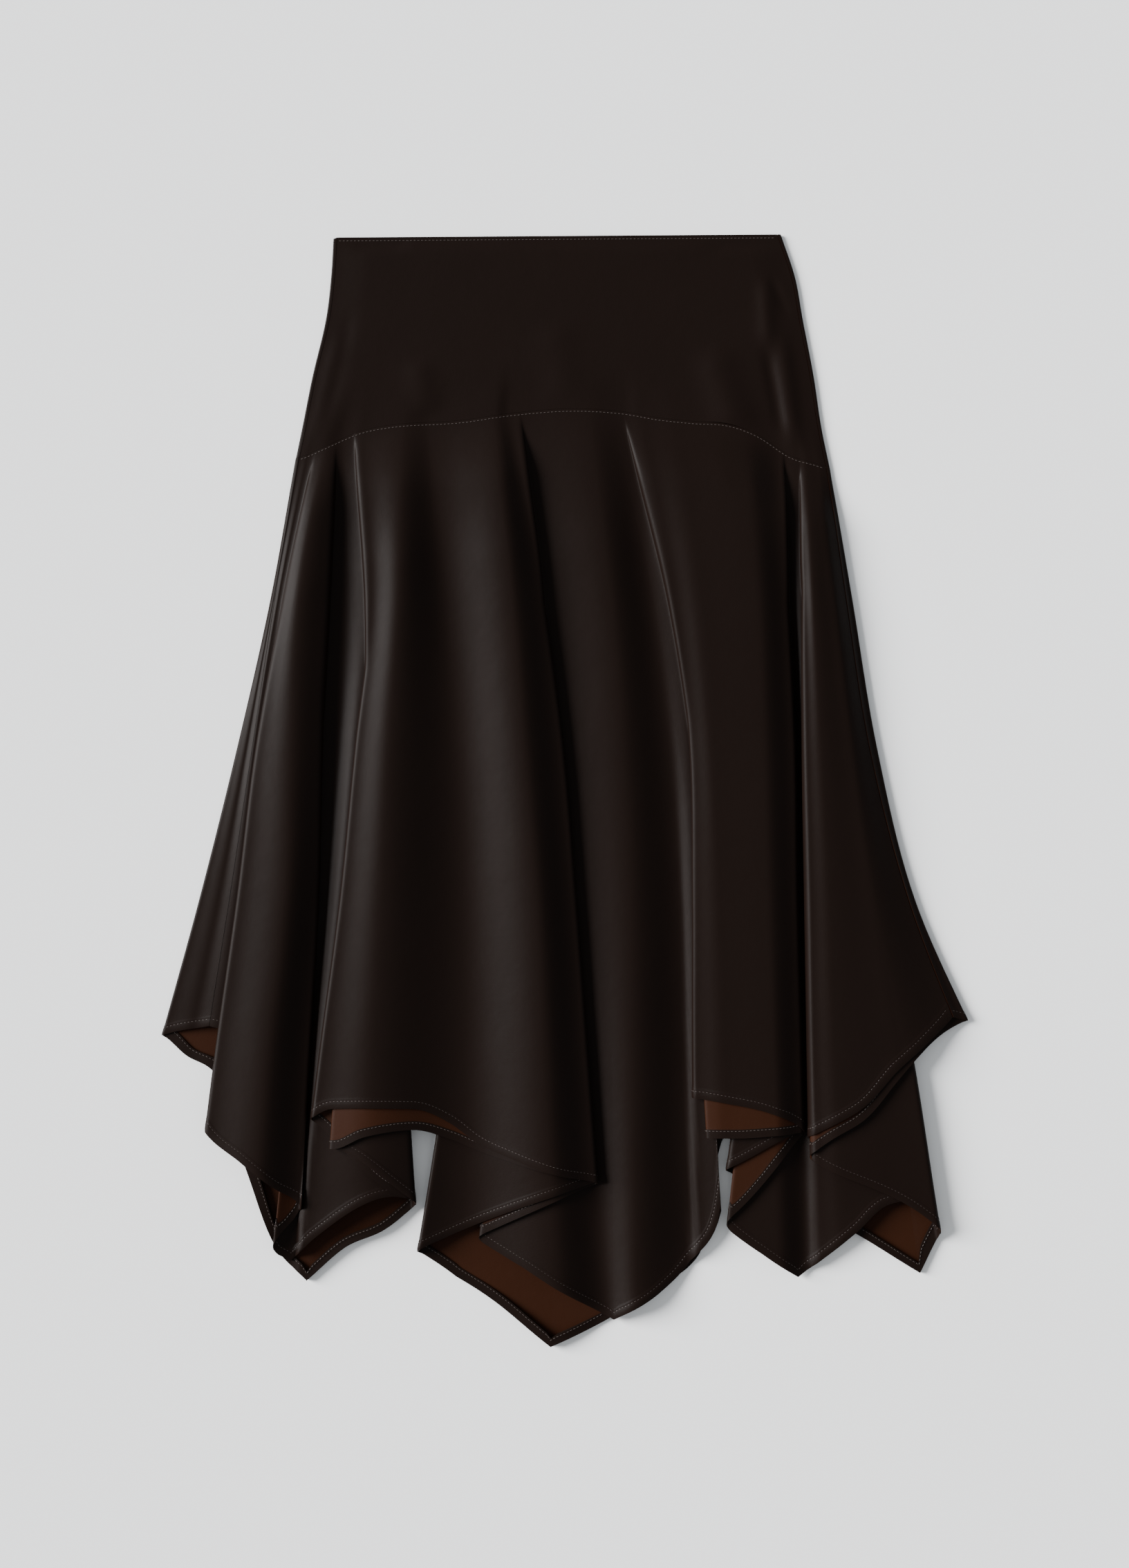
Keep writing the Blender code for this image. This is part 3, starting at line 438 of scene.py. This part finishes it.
class Panel:
    """A panel of cloth as a family of cross sections, each a smooth curve over the fold lines.

    A fold line stands for four guide points: a little before the fold on the old level, the
    fold itself on the old and on the new level, and a little after it on the new. Any other
    line is one guide point. At each height the path through the guide points is walked at an
    even pace and blurred with a bell, which rounds every turn.
    """

    def __init__(self, lines, stations, face, relief, top, bottom=None):
        cloth = bpy.context.scene.skirt_cloth
        self.face, self.relief, self.bottom = face, relief, bottom
        self.wall, self.pair, self.rise = cloth.wall, cloth.pair, cloth.rise
        guides = []
        last = len(lines) - 1
        for number, line in enumerate(lines):
            before = line.turns if line.kind == SIDE else lines[max(number - 1, 0)].turns
            roll_in = SIDE_ROLL if line.kind == SIDE and number == 1 else 0.0
            roll_out = SIDE_ROLL if line.kind == SIDE and number > 1 else 0.0
            if line.kind == LINE:
                next_in = lines[1] if number == 0 else lines[last - 1]
                rolled = SIDE_ROLL if number in (0, last) and next_in.kind == SIDE else 0.0
                guides.append((number, number, line.turns, rolled, line.hem))
                continue
            guides.append((number, number - 1, before, roll_in, line.hem))
            guides.append((number, number, before, roll_in, line.hem))
            guides.append((number, number, line.turns, roll_out, line.hem))
            guides.append((number, number + 1, line.turns, roll_out, line.hem))
        own, near, turns, rolls, hems = (np.array(column) for column in zip(*guides))
        self.count = len(guides)

        self.heights = np.arange(stations[0] + SECTION_ABOVE, -SECTION_STEP, -SECTION_STEP)
        table = np.array([line[3:9] for line in lines], float)
        table[0] += SEAM_GAP * (face > 0)
        table[-1] -= RIGHT_GAP * (face > 0)
        levels = np.broadcast_to(self.heights, (self.count, len(self.heights)))
        places = along(stations, table, levels[:len(table)])
        turned = [number for number, line in enumerate(lines) if line.kind == FOLD]
        for first, second in zip(turned, turned[1:]):
            if lines[first].turns == 1:
                middle = (places[first] + places[second]) / 2
                half = np.maximum(places[first] - places[second], LEAST_FOLD) / 2
                places[first], places[second] = middle + half, middle - half
        x, toward = places[own], places[near]
        x = x + np.clip(0.45 * (toward - x), -TURN, TURN)
        start = seam_height(np.clip(table[own, -1 if bottom else 0], SEAM_X[0], SEAM_X[-1]))
        opened = smooth((start[:, None] - levels) / LIFT_LENGTH)
        z = self.pair / 2 + turns[:, None] * opened * self.rise + rolls[:, None]
        self.u = self.columns(x, z, own)
        self.hem = self.hem_curve(lines, x, z, own, hems)
        self.sections = np.stack([self.blur(x[:, k], z[:, k]) for k in range(len(self.heights))])
        self.ends = self.reach(top, bottom)
        self.slant = hem_slant(self)

    def hem_curve(self, lines, x, z, own, hems):
        """Height of the hem at each column, as a curve along the cloth that breaks at corners."""
        level = int((self.heights[0] - HEM_LEVEL) / SECTION_STEP)
        steps = np.hypot(np.diff(x[:, level]), np.diff(z[:, level]))
        length = np.concatenate([[0.0], np.cumsum(np.maximum(steps, 1e-3))])
        nodes = [int(np.flatnonzero(own == number)[-1 if line.kind == LINE else 1])
                 for number, line in enumerate(lines)]
        broken = np.array([CORNER_WORD in line.name or number in (0, len(lines) - 1)
                           for number, line in enumerate(lines)])
        place = np.interp(self.u, np.arange(self.count), length)
        return edge_curve(length[nodes], hems[nodes].astype(float), broken, place)

    def columns(self, x, z, own):
        """The u of the mesh's columns: even steps between guide points, finer at the turns."""
        length = np.hypot(np.diff(x, axis=0), np.diff(z, axis=0)).max(axis=1)
        turning = own[1:] == own[:-1]
        pieces = []
        for number, (size, tight) in enumerate(zip(length, turning)):
            steps = TURN_COLUMNS if tight else max(int(np.ceil(size / COLUMN_PITCH)), 1)
            pieces.append(number + np.arange(steps) / steps)
        return np.append(np.concatenate(pieces), self.count - 1.0)

    def blur(self, x, z):
        """One section: its x and z and the direction square to it, at each column.

        The path runs on straight past both ends, so the ends stay where they are.
        """
        steps = np.hypot(np.diff(x), np.diff(z))
        length = np.concatenate([[0.0], np.cumsum(np.maximum(steps, 1e-6))])
        pad = 5 * ROUNDING
        pace = np.arange(-pad, length[-1] + pad, PACE)
        bell = np.exp(-0.5 * (np.arange(-pad, pad + PACE / 2, PACE) / ROUNDING) ** 2)
        bell /= bell.sum()
        place = np.interp(self.u, np.arange(self.count), length)
        curves = []
        for value in (x, z):
            first = value[0] + (value[0] - value[1]) / max(steps[0], 1e-6) * pad
            final = value[-1] + (value[-1] - value[-2]) / max(steps[-1], 1e-6) * pad
            path = np.interp(pace, np.concatenate([[-pad], length, [length[-1] + pad]]),
                             np.concatenate([[first], value, [final]]))
            curve = np.convolve(np.pad(path, len(bell) // 2, mode="reflect", reflect_type="odd"), bell, "valid")
            curves.append((np.interp(place, pace, curve), np.interp(place, pace, np.gradient(curve))))
        (px, run), (pz, rise) = curves
        size = np.hypot(run, rise)
        return np.stack([px, pz, -rise / size, run / size])

    def section(self, y):
        """The stored sections read between heights, at one y or more for each column."""
        level = np.clip((self.heights[0] - y) / SECTION_STEP, 0, len(self.heights) - 1.001)
        low = level.astype(int)
        part = level - low
        column = np.arange(len(self.u)).reshape((-1,) + (1,) * (np.ndim(y) - 1))
        values = [self.sections[low, k, column] * (1 - part) + self.sections[low + 1, k, column] * part
                  for k in range(4)]
        size = np.hypot(values[2], values[3])
        return values[0], values[1], values[2] / size, values[3] / size

    def reach(self, top, bottom):
        """Heights of each column's two ends, found by trying the edge's curve a few times."""
        upper = np.full(len(self.u), self.heights[0])
        lower = self.hem
        for _ in range(8):
            upper = top(self.section(upper)[0])
        if bottom:
            lower = np.full(len(self.u), self.heights[-1])
            for _ in range(8):
                lower = bottom(self.section(lower)[0])
        return upper, lower

    def place(self, y, offset):
        """Points of the cloth at heights y, moved out of the cloth's middle by an offset.

        The lift at one place grows with the height below it, so what lies apart stays apart.
        """
        x, z, out_x, out_z = self.section(y)
        away = self.face * self.pair / 2 + offset
        x = x + out_x * away
        level = z + out_z * away
        z = level + LOWEST
        share = np.interp(level, (0.5, self.pair - 0.5, self.pair - 0.5 + 2 * self.rise), (0.0, 0.85, 1.0))
        return np.stack([x, y, z + self.relief(x, y) * share], axis=-1)

    def rows(self):
        """Heights of the mesh's rows on every column, from the top edge to the bottom one."""
        upper, lower = self.ends
        if self.bottom:
            return upper[:, None] + (lower - upper)[:, None] * np.linspace(0, 1, YOKE_ROWS)
        depth = OPENING_DEPTH * np.linspace(0, 1, OPENING_ROWS) ** 1.3
        fixed = upper[:, None] - depth
        last = lower[:, None] + self.slant[:, None] * np.array(HEM_ROWS)
        share = np.linspace(0, 1, LOWER_ROWS + 1)[1:-1]
        rest = fixed[:, -1:] + (last[:, :1] - fixed[:, -1:]) * share
        return np.concatenate([fixed, rest, last], axis=1)

    def hem_offset(self):
        """How far each row of the mesh stands out more than the single cloth does."""
        if self.bottom:
            return np.zeros(YOKE_ROWS)
        away = np.array(HEM_ROWS)
        swell = HEM_SWELL * smooth((8.2 - away) / 1.4) - self.wall * 0.42 * (1 - smooth(away / 1.6))
        groove = -0.22 * np.exp(-((away - 6.2) / 0.5) ** 2)
        return np.concatenate([np.zeros(OPENING_ROWS + LOWER_ROWS - 1), swell + groove])


def spread(left, right, places):
    """Plain lines between two side lines, ending at the given places on the seam."""
    ends = np.array([left[3:9], right[3:9]], float)
    lines = []
    for place in places:
        start, stop = along(YOKE_STATIONS, ends, np.full((2, 1), seam_height(place)))[:, 0]
        share = (place - start) / (stop - start)
        lines.append(Line("between", LINE, 0, *(ends[0] + share * (ends[1] - ends[0])), 0))
    return lines


def skirt_panel(face):
    """The front's (1) or the back's (-1) lower panel."""
    return Panel(FRONT_LINES if face > 0 else BACK_LINES, SKIRT_STATIONS, face, flutes, skirt_top)


def yoke_panel(face):
    """The front's (1) or the back's (-1) yoke."""
    between = spread(YOKE_LEFT_SIDE, YOKE_RIGHT_SIDE, np.linspace(-205, 198, 12))
    sides = ([], []) if face > 0 else ([YOKE_LEFT_SIDE], [YOKE_RIGHT_SIDE])
    lines = [YOKE_LEFT_SEAM, *sides[0], *between, *sides[1], YOKE_RIGHT_SEAM]
    return Panel(lines, YOKE_STATIONS, face, yoke_relief, waist_height, yoke_bottom)


def wall_mesh(name, first, second, materials):
    """Closed wall between two grids of points: the outer face, the inner face and a rim.

    first and second are (columns, rows, 3) in millimetres; the first face gets material 0, the
    second material 1. The map gives the cloth's own coordinates in metres.
    """
    columns, rows = first.shape[:2]
    size = columns * rows
    number = np.arange(size).reshape(columns, rows)
    quads = np.stack([number[:-1, :-1], number[:-1, 1:], number[1:, 1:], number[1:, :-1]], axis=-1).reshape(-1, 4)
    rim = np.concatenate([number[:, 0], number[-1, 1:], number[-2::-1, -1], number[0, -2::-1]])
    edge = np.stack([rim[:-1], rim[1:], rim[1:] + size, rim[:-1] + size], axis=-1)
    faces = np.concatenate([quads, quads[:, ::-1] + size, edge])
    points = (np.concatenate([first.reshape(-1, 3), second.reshape(-1, 3)]) - MIDDLE) * MM
    mesh = bpy.data.meshes.new(name)
    mesh.from_pydata(points.tolist(), [], faces.tolist())
    mesh.polygons.foreach_set("material_index", np.repeat([0, 1, 0], [len(quads), len(quads), len(edge)]))
    across = np.cumsum(np.linalg.norm(np.diff(first, axis=0, prepend=first[:1]), axis=-1), axis=0)
    down = np.cumsum(np.linalg.norm(np.diff(first, axis=1, prepend=first[:, :1]), axis=-1), axis=1)
    cloth = np.stack([across, down], axis=-1).reshape(-1, 2) * MM
    layer = mesh.uv_layers.new(name="Cloth")
    loops = np.empty(len(mesh.loops), dtype=np.int32)
    mesh.loops.foreach_get("vertex_index", loops)
    layer.data.foreach_set("uv", np.concatenate([cloth, cloth])[loops].ravel())
    for material in materials:
        mesh.materials.append(material)
    mesh.shade_smooth()
    mesh.set_sharp_from_angle(angle=np.radians(60))
    mesh.update()
    thing = bpy.data.objects.new(name, mesh)
    bpy.context.collection.objects.link(thing)
    return thing


def cloth_piece(name, panel, node):
    """A whole piece of cloth that stands for a CAD node: outer face of satin, inner face rusty."""
    y = panel.rows()
    half = panel.face * panel.wall / 2
    swell = panel.face * panel.hem_offset()
    outer, inner = panel.place(y, half + swell), panel.place(y, -half)
    faces = (outer, inner) if panel.face > 0 else (inner, outer)
    materials = (satin_face(), satin_inner()) if panel.face > 0 else (satin_inner(), satin_face())
    piece = wall_mesh(name, faces[0], faces[1], materials)
    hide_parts(node)
    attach(piece, "root")
    return piece


def hem_slant(panel):
    """How much steeper than level the hem runs at each column: its length over its level run."""
    edge = panel.place(panel.ends[1], 0.0)
    run = np.gradient(np.hypot(*np.diff(edge[:, ::2], axis=0, prepend=edge[:1, ::2]).T).cumsum())
    climb = np.gradient(edge[:, 1])
    return np.sqrt(1 + (climb / np.maximum(run, 0.3)) ** 2).clip(1, 4)


def hem_turning(name, panel, width):
    """The hem's turned strip on the inner side, as wide square to the hem as its width."""
    up = width * np.linspace(1, 0, 5)
    y = panel.ends[1][:, None] + panel.slant[:, None] * up
    under = panel.face * (panel.wall / 2 + 0.05)
    over = panel.face * (panel.wall / 2 + 0.45)
    near, far = panel.place(y, -under), panel.place(y, -over)
    faces = (far, near) if panel.face < 0 else (near, far)
    piece = wall_mesh(name, faces[0], faces[1], (satin_face(), satin_face()))
    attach(piece, "root")
    return piece


def stitches(name, rows, settings):
    """Rows of small raised stitches along polylines with normals, each a six-sided grain.

    A stitch is a flat grain of thread: a ring of six points round its middle and one point at
    each end, laid along the line at even distances and turned with it.
    """
    ring = np.linspace(0, 2 * np.pi, 7)[:-1]
    half, thick = settings.stitch / 2, settings.thread / 2
    grain = np.array([[-half, 0, 0]] + [[-half * 0.5, thick * np.cos(a), thick * np.sin(a)] for a in ring]
                     + [[half * 0.5, thick * np.cos(a), thick * np.sin(a)] for a in ring] + [[half, 0, 0]])
    nexts = np.roll(np.arange(6), -1)
    tips = [(0, 1 + n, 1 + k) for k, n in enumerate(nexts)] + [(13, 7 + k, 7 + n) for k, n in enumerate(nexts)]
    sides = [(1 + k, 1 + n, 7 + n, 7 + k) for k, n in enumerate(nexts)]
    points, faces, start = [], [], 0
    for line, normal in rows:
        steps = np.linalg.norm(np.diff(line, axis=0), axis=1)
        length = np.concatenate([[0], steps.cumsum()])
        middle = np.arange(settings.pitch, length[-1] - settings.pitch / 2, settings.pitch)
        place = np.stack([np.interp(middle, length, line[:, k]) for k in range(3)], axis=-1)
        ahead = np.stack([np.interp(middle + half, length, line[:, k]) for k in range(3)], axis=-1) - place
        ahead /= np.linalg.norm(ahead, axis=1, keepdims=True)
        out = np.stack([np.interp(middle, length, normal[:, k]) for k in range(3)], axis=-1)
        side = np.cross(out, ahead)
        side /= np.linalg.norm(side, axis=1, keepdims=True)
        out = np.cross(ahead, side)
        axes = np.stack([ahead, side, out], axis=1)
        points.append((place[:, None, :] + grain @ axes).reshape(-1, 3))
        offsets = start + np.arange(len(middle)) * len(grain)
        faces += [tuple(int(i + offset) for i in face) for offset in offsets for face in tips + sides]
        start += len(middle) * len(grain)
    mesh = bpy.data.meshes.new(name)
    mesh.from_pydata(((np.concatenate(points) - MIDDLE) * MM).tolist(), [], faces)
    mesh.materials.append(thread())
    mesh.shade_smooth()
    piece = bpy.data.objects.new(name, mesh)
    bpy.context.collection.objects.link(piece)
    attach(piece, "root")
    return piece


def surface_line(panel, y, offset):
    """A line across a panel at heights y with its normals, lying an offset off the middle."""
    line, below = panel.place(y, offset), panel.place(y - 1.0, offset)
    run = np.gradient(line, axis=0)
    normal = np.cross(run, below - line) * (-1 if offset > 0 else 1)
    normal /= np.maximum(np.linalg.norm(normal, axis=1, keepdims=True), 1e-9)
    return line, normal


def node_material(name):
    """An empty node material with its shader and output joined; the shader and the tree."""
    material = bpy.data.materials.get(name)
    if material:
        return material, None, None
    material = bpy.data.materials.new(name)
    material.use_nodes = True
    tree = material.node_tree
    return material, tree, tree.nodes["Principled BSDF"]


def satin_bump(tree, shader, weave, crumple):
    """Bump of the satin: long floats of the weave on the cloth's own map, and soft crumples."""
    nodes, links = tree.nodes, tree.links
    cloth = nodes.new("ShaderNodeUVMap")
    cloth.uv_map = "Cloth"
    stretch = nodes.new("ShaderNodeMapping")
    stretch.inputs["Scale"].default_value = (1400.0, 2600.0, 1.0)
    floats = nodes.new("ShaderNodeTexNoise")
    floats.inputs["Scale"].default_value = 1.0
    floats.inputs["Detail"].default_value = 2.0
    place = nodes.new("ShaderNodeTexCoord")
    folds = nodes.new("ShaderNodeTexNoise")
    folds.inputs["Scale"].default_value = 26.0
    folds.inputs["Detail"].default_value = 4.0
    folds.inputs["Roughness"].default_value = 0.55
    fine = nodes.new("ShaderNodeBump")
    fine.inputs["Strength"].default_value = weave
    fine.inputs["Distance"].default_value = 0.0002
    soft = nodes.new("ShaderNodeBump")
    soft.inputs["Strength"].default_value = crumple
    soft.inputs["Distance"].default_value = 0.004
    links.new(cloth.outputs["UV"], stretch.inputs["Vector"])
    links.new(stretch.outputs["Vector"], floats.inputs["Vector"])
    links.new(place.outputs["Object"], folds.inputs["Vector"])
    links.new(floats.outputs["Fac"], fine.inputs["Height"])
    links.new(folds.outputs["Fac"], soft.inputs["Height"])
    links.new(soft.outputs["Normal"], fine.inputs["Normal"])
    links.new(fine.outputs["Normal"], shader.inputs["Normal"])


def mottle(tree, shader, colour, share):
    """Base colour that wavers a little over a hand's breadth."""
    nodes, links = tree.nodes, tree.links
    place = nodes.new("ShaderNodeTexCoord")
    noise = nodes.new("ShaderNodeTexNoise")
    noise.inputs["Scale"].default_value = 11.0
    noise.inputs["Detail"].default_value = 3.0
    mix = nodes.new("ShaderNodeMix")
    mix.data_type = "RGBA"
    mix.inputs["A"].default_value = [value * (1 - share) for value in colour[:3]] + [1.0]
    mix.inputs["B"].default_value = [value * (1 + share) for value in colour[:3]] + [1.0]
    links.new(place.outputs["Object"], noise.inputs["Vector"])
    links.new(noise.outputs["Fac"], mix.inputs["Factor"])
    links.new(mix.outputs["Result"], shader.inputs["Base Color"])


def satin_face():
    """The satin's dark brown face: a soft gloss and a pale sheen at a slant."""
    material, tree, shader = node_material("satin_face")
    if tree:
        colours = bpy.context.scene.skirt_satin
        mottle(tree, shader, colours.face, 0.08)
        satin_bump(tree, shader, 0.35, 0.10)
        shader.inputs["Roughness"].default_value = 0.46
        shader.inputs["Specular IOR Level"].default_value = 0.05
        shader.inputs["Sheen Weight"].default_value = 0.02
        shader.inputs["Sheen Roughness"].default_value = 0.35
        shader.inputs["Sheen Tint"].default_value = colours.face_lit
    return material


def satin_inner():
    """The cloth's inner side: rust brown, duller than the face."""
    material, tree, shader = node_material("satin_inner")
    if tree:
        colours = bpy.context.scene.skirt_satin
        mottle(tree, shader, colours.inner, 0.12)
        satin_bump(tree, shader, 0.5, 0.10)
        shader.inputs["Roughness"].default_value = 0.55
        shader.inputs["Specular IOR Level"].default_value = 0.06
        shader.inputs["Sheen Weight"].default_value = 0.03
        shader.inputs["Sheen Roughness"].default_value = 0.4
        shader.inputs["Sheen Tint"].default_value = (0.6, 0.3, 0.18, 1.0)
    return material


def thread():
    """Dark sewing thread."""
    material, tree, shader = node_material("thread")
    if tree:
        mottle(tree, shader, bpy.context.scene.skirt_satin.thread, 0.1)
        shader.inputs["Roughness"].default_value = 0.5
    return material


def floor_paint(colour):
    """Plain pale floor."""
    material, tree, shader = node_material("pale_floor")
    if tree:
        shader.inputs["Base Color"].default_value = colour
        shader.inputs["Roughness"].default_value = 0.9
        shader.inputs["Specular IOR Level"].default_value = 0.1
    return material


class SKIRT_OT_panels(bpy.types.Operator):
    """Make the front and back lower panels with their folds and pointed hems"""
    bl_idname = "skirt.panels"
    bl_label = "Lower panels"

    def execute(self, context):
        settings = context.scene.skirt_cloth
        for name, face in (("front_panel", 1), ("back_panel", -1)):
            panel = skirt_panel(face)
            piece = cloth_piece(name, panel, "front_skirt" if face > 0 else "back_skirt")
            turning = hem_turning(name + "_hem", panel, settings.hem_width)
        return {"FINISHED"}


class SKIRT_OT_yokes(bpy.types.Operator):
    """Make the front and back hip yokes"""
    bl_idname = "skirt.yokes"
    bl_label = "Hip yokes"

    def execute(self, context):
        for name, face in (("front_hip", 1), ("back_hip", -1)):
            piece = cloth_piece(name, yoke_panel(face), "front_yoke" if face > 0 else "back_yoke")
        return {"FINISHED"}


class SKIRT_OT_stitches(bpy.types.Operator):
    """Sew the topstitching round the hems, under the yoke seam and under the waist edge"""
    bl_idname = "skirt.stitches"
    bl_label = "Topstitching"

    def execute(self, context):
        sewing, cloth = context.scene.skirt_sewing, context.scene.skirt_cloth
        hem_rows, seam_rows, waist_rows = [], [], []
        for face in (1, -1):
            panel, yoke = skirt_panel(face), yoke_panel(face)
            lift = face * (cloth.wall / 2 + 0.08)
            inside = -face * (cloth.wall / 2 + 0.5)
            hem = panel.ends[1] + panel.slant * (cloth.hem_width - 1.2)
            hem_rows += [surface_line(panel, hem, lift), surface_line(panel, hem, inside)]
            seam_rows.append(surface_line(panel, panel.ends[0] - 2.0, lift))
            waist_rows.append(surface_line(yoke, yoke.ends[0] - 2.8, lift))
        stitches("hem_stitches", hem_rows, sewing)
        stitches("yoke_seam_stitches", seam_rows, sewing)
        stitches("waist_stitches", waist_rows, sewing)
        return {"FINISHED"}


class SKIRT_OT_stage(bpy.types.Operator):
    """Lay the pale floor, hang the soft lights and set the camera straight above"""
    bl_idname = "skirt.stage"
    bl_label = "Stage"

    def execute(self, context):
        settings = context.scene.skirt_stage
        size = 12.0
        mesh = bpy.data.meshes.new("floor")
        corners = [(-size, -size, 0), (size, -size, 0), (size, size, 0), (-size, size, 0)]
        mesh.from_pydata(corners, [], [(0, 1, 2, 3)])
        mesh.materials.append(floor_paint(settings.floor))
        floor = bpy.data.objects.new("floor", mesh)
        context.collection.objects.link(floor)

        world = bpy.data.worlds.new("studio")
        context.scene.world = world
        world.use_nodes = True
        background = world.node_tree.nodes["Background"]
        background.inputs["Color"].default_value = (0.93, 0.97, 1.0, 1.0)
        background.inputs["Strength"].default_value = settings.fill

        key = bpy.data.lights.new("key", "SUN")
        key.energy = settings.key
        key.angle = settings.key_width
        lamp = bpy.data.objects.new("key", key)
        lamp.rotation_euler = (np.pi / 2 - settings.key_height, 0, settings.key_side)
        context.collection.objects.link(lamp)

        camera_data = bpy.data.cameras.new("camera")
        camera_data.sensor_fit = "VERTICAL"
        camera_data.sensor_height = 36.0
        frame_height = PHOTO_HEIGHT * MM_A_PIXEL * MM
        camera_data.lens = camera_data.sensor_height * settings.camera_height / frame_height
        camera = bpy.data.objects.new("camera", camera_data)
        middle_x = (PHOTO_WIDTH / 2 - PIXEL_X0) * MM_A_PIXEL - MIDDLE[0]
        middle_y = (PIXEL_Y0 - PHOTO_HEIGHT / 2) * MM_A_PIXEL - MIDDLE[1]
        camera.location = (middle_x * MM, middle_y * MM, settings.camera_height)
        context.collection.objects.link(camera)
        context.scene.camera = camera
        return {"FINISHED"}


class SKIRT_PT_panel(bpy.types.Panel):
    bl_label = "Skirt"
    bl_idname = "SKIRT_PT_panel"
    bl_space_type = "VIEW_3D"
    bl_region_type = "UI"
    bl_category = "Skirt"

    def draw(self, context):
        layout = self.layout
        for operator in OPERATORS:
            layout.operator(operator.bl_idname)
        for group in (context.scene.skirt_cloth, context.scene.skirt_satin,
                      context.scene.skirt_sewing, context.scene.skirt_stage):
            for name in group.__annotations__:
                layout.prop(group, name)


OPERATORS = (SKIRT_OT_panels, SKIRT_OT_yokes, SKIRT_OT_stitches, SKIRT_OT_stage)
SETTINGS = {
    "skirt_cloth": ClothSettings,
    "skirt_satin": SatinSettings,
    "skirt_sewing": SewingSettings,
    "skirt_stage": StageSettings,
}


def register():
    for group in (*SETTINGS.values(), *OPERATORS, SKIRT_PT_panel):
        bpy.utils.register_class(group)
    for name, group in SETTINGS.items():
        setattr(bpy.types.Scene, name, PointerProperty(type=group))


def unregister():
    for name in SETTINGS:
        delattr(bpy.types.Scene, name)
    for group in reversed((*SETTINGS.values(), *OPERATORS, SKIRT_PT_panel)):
        bpy.utils.unregister_class(group)


def main():
    """Register the add-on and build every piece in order."""
    register()
    bpy.ops.skirt.stage()
    bpy.ops.skirt.panels()
    bpy.ops.skirt.yokes()
    bpy.ops.skirt.stitches()


if __name__ == "__main__":
    main()
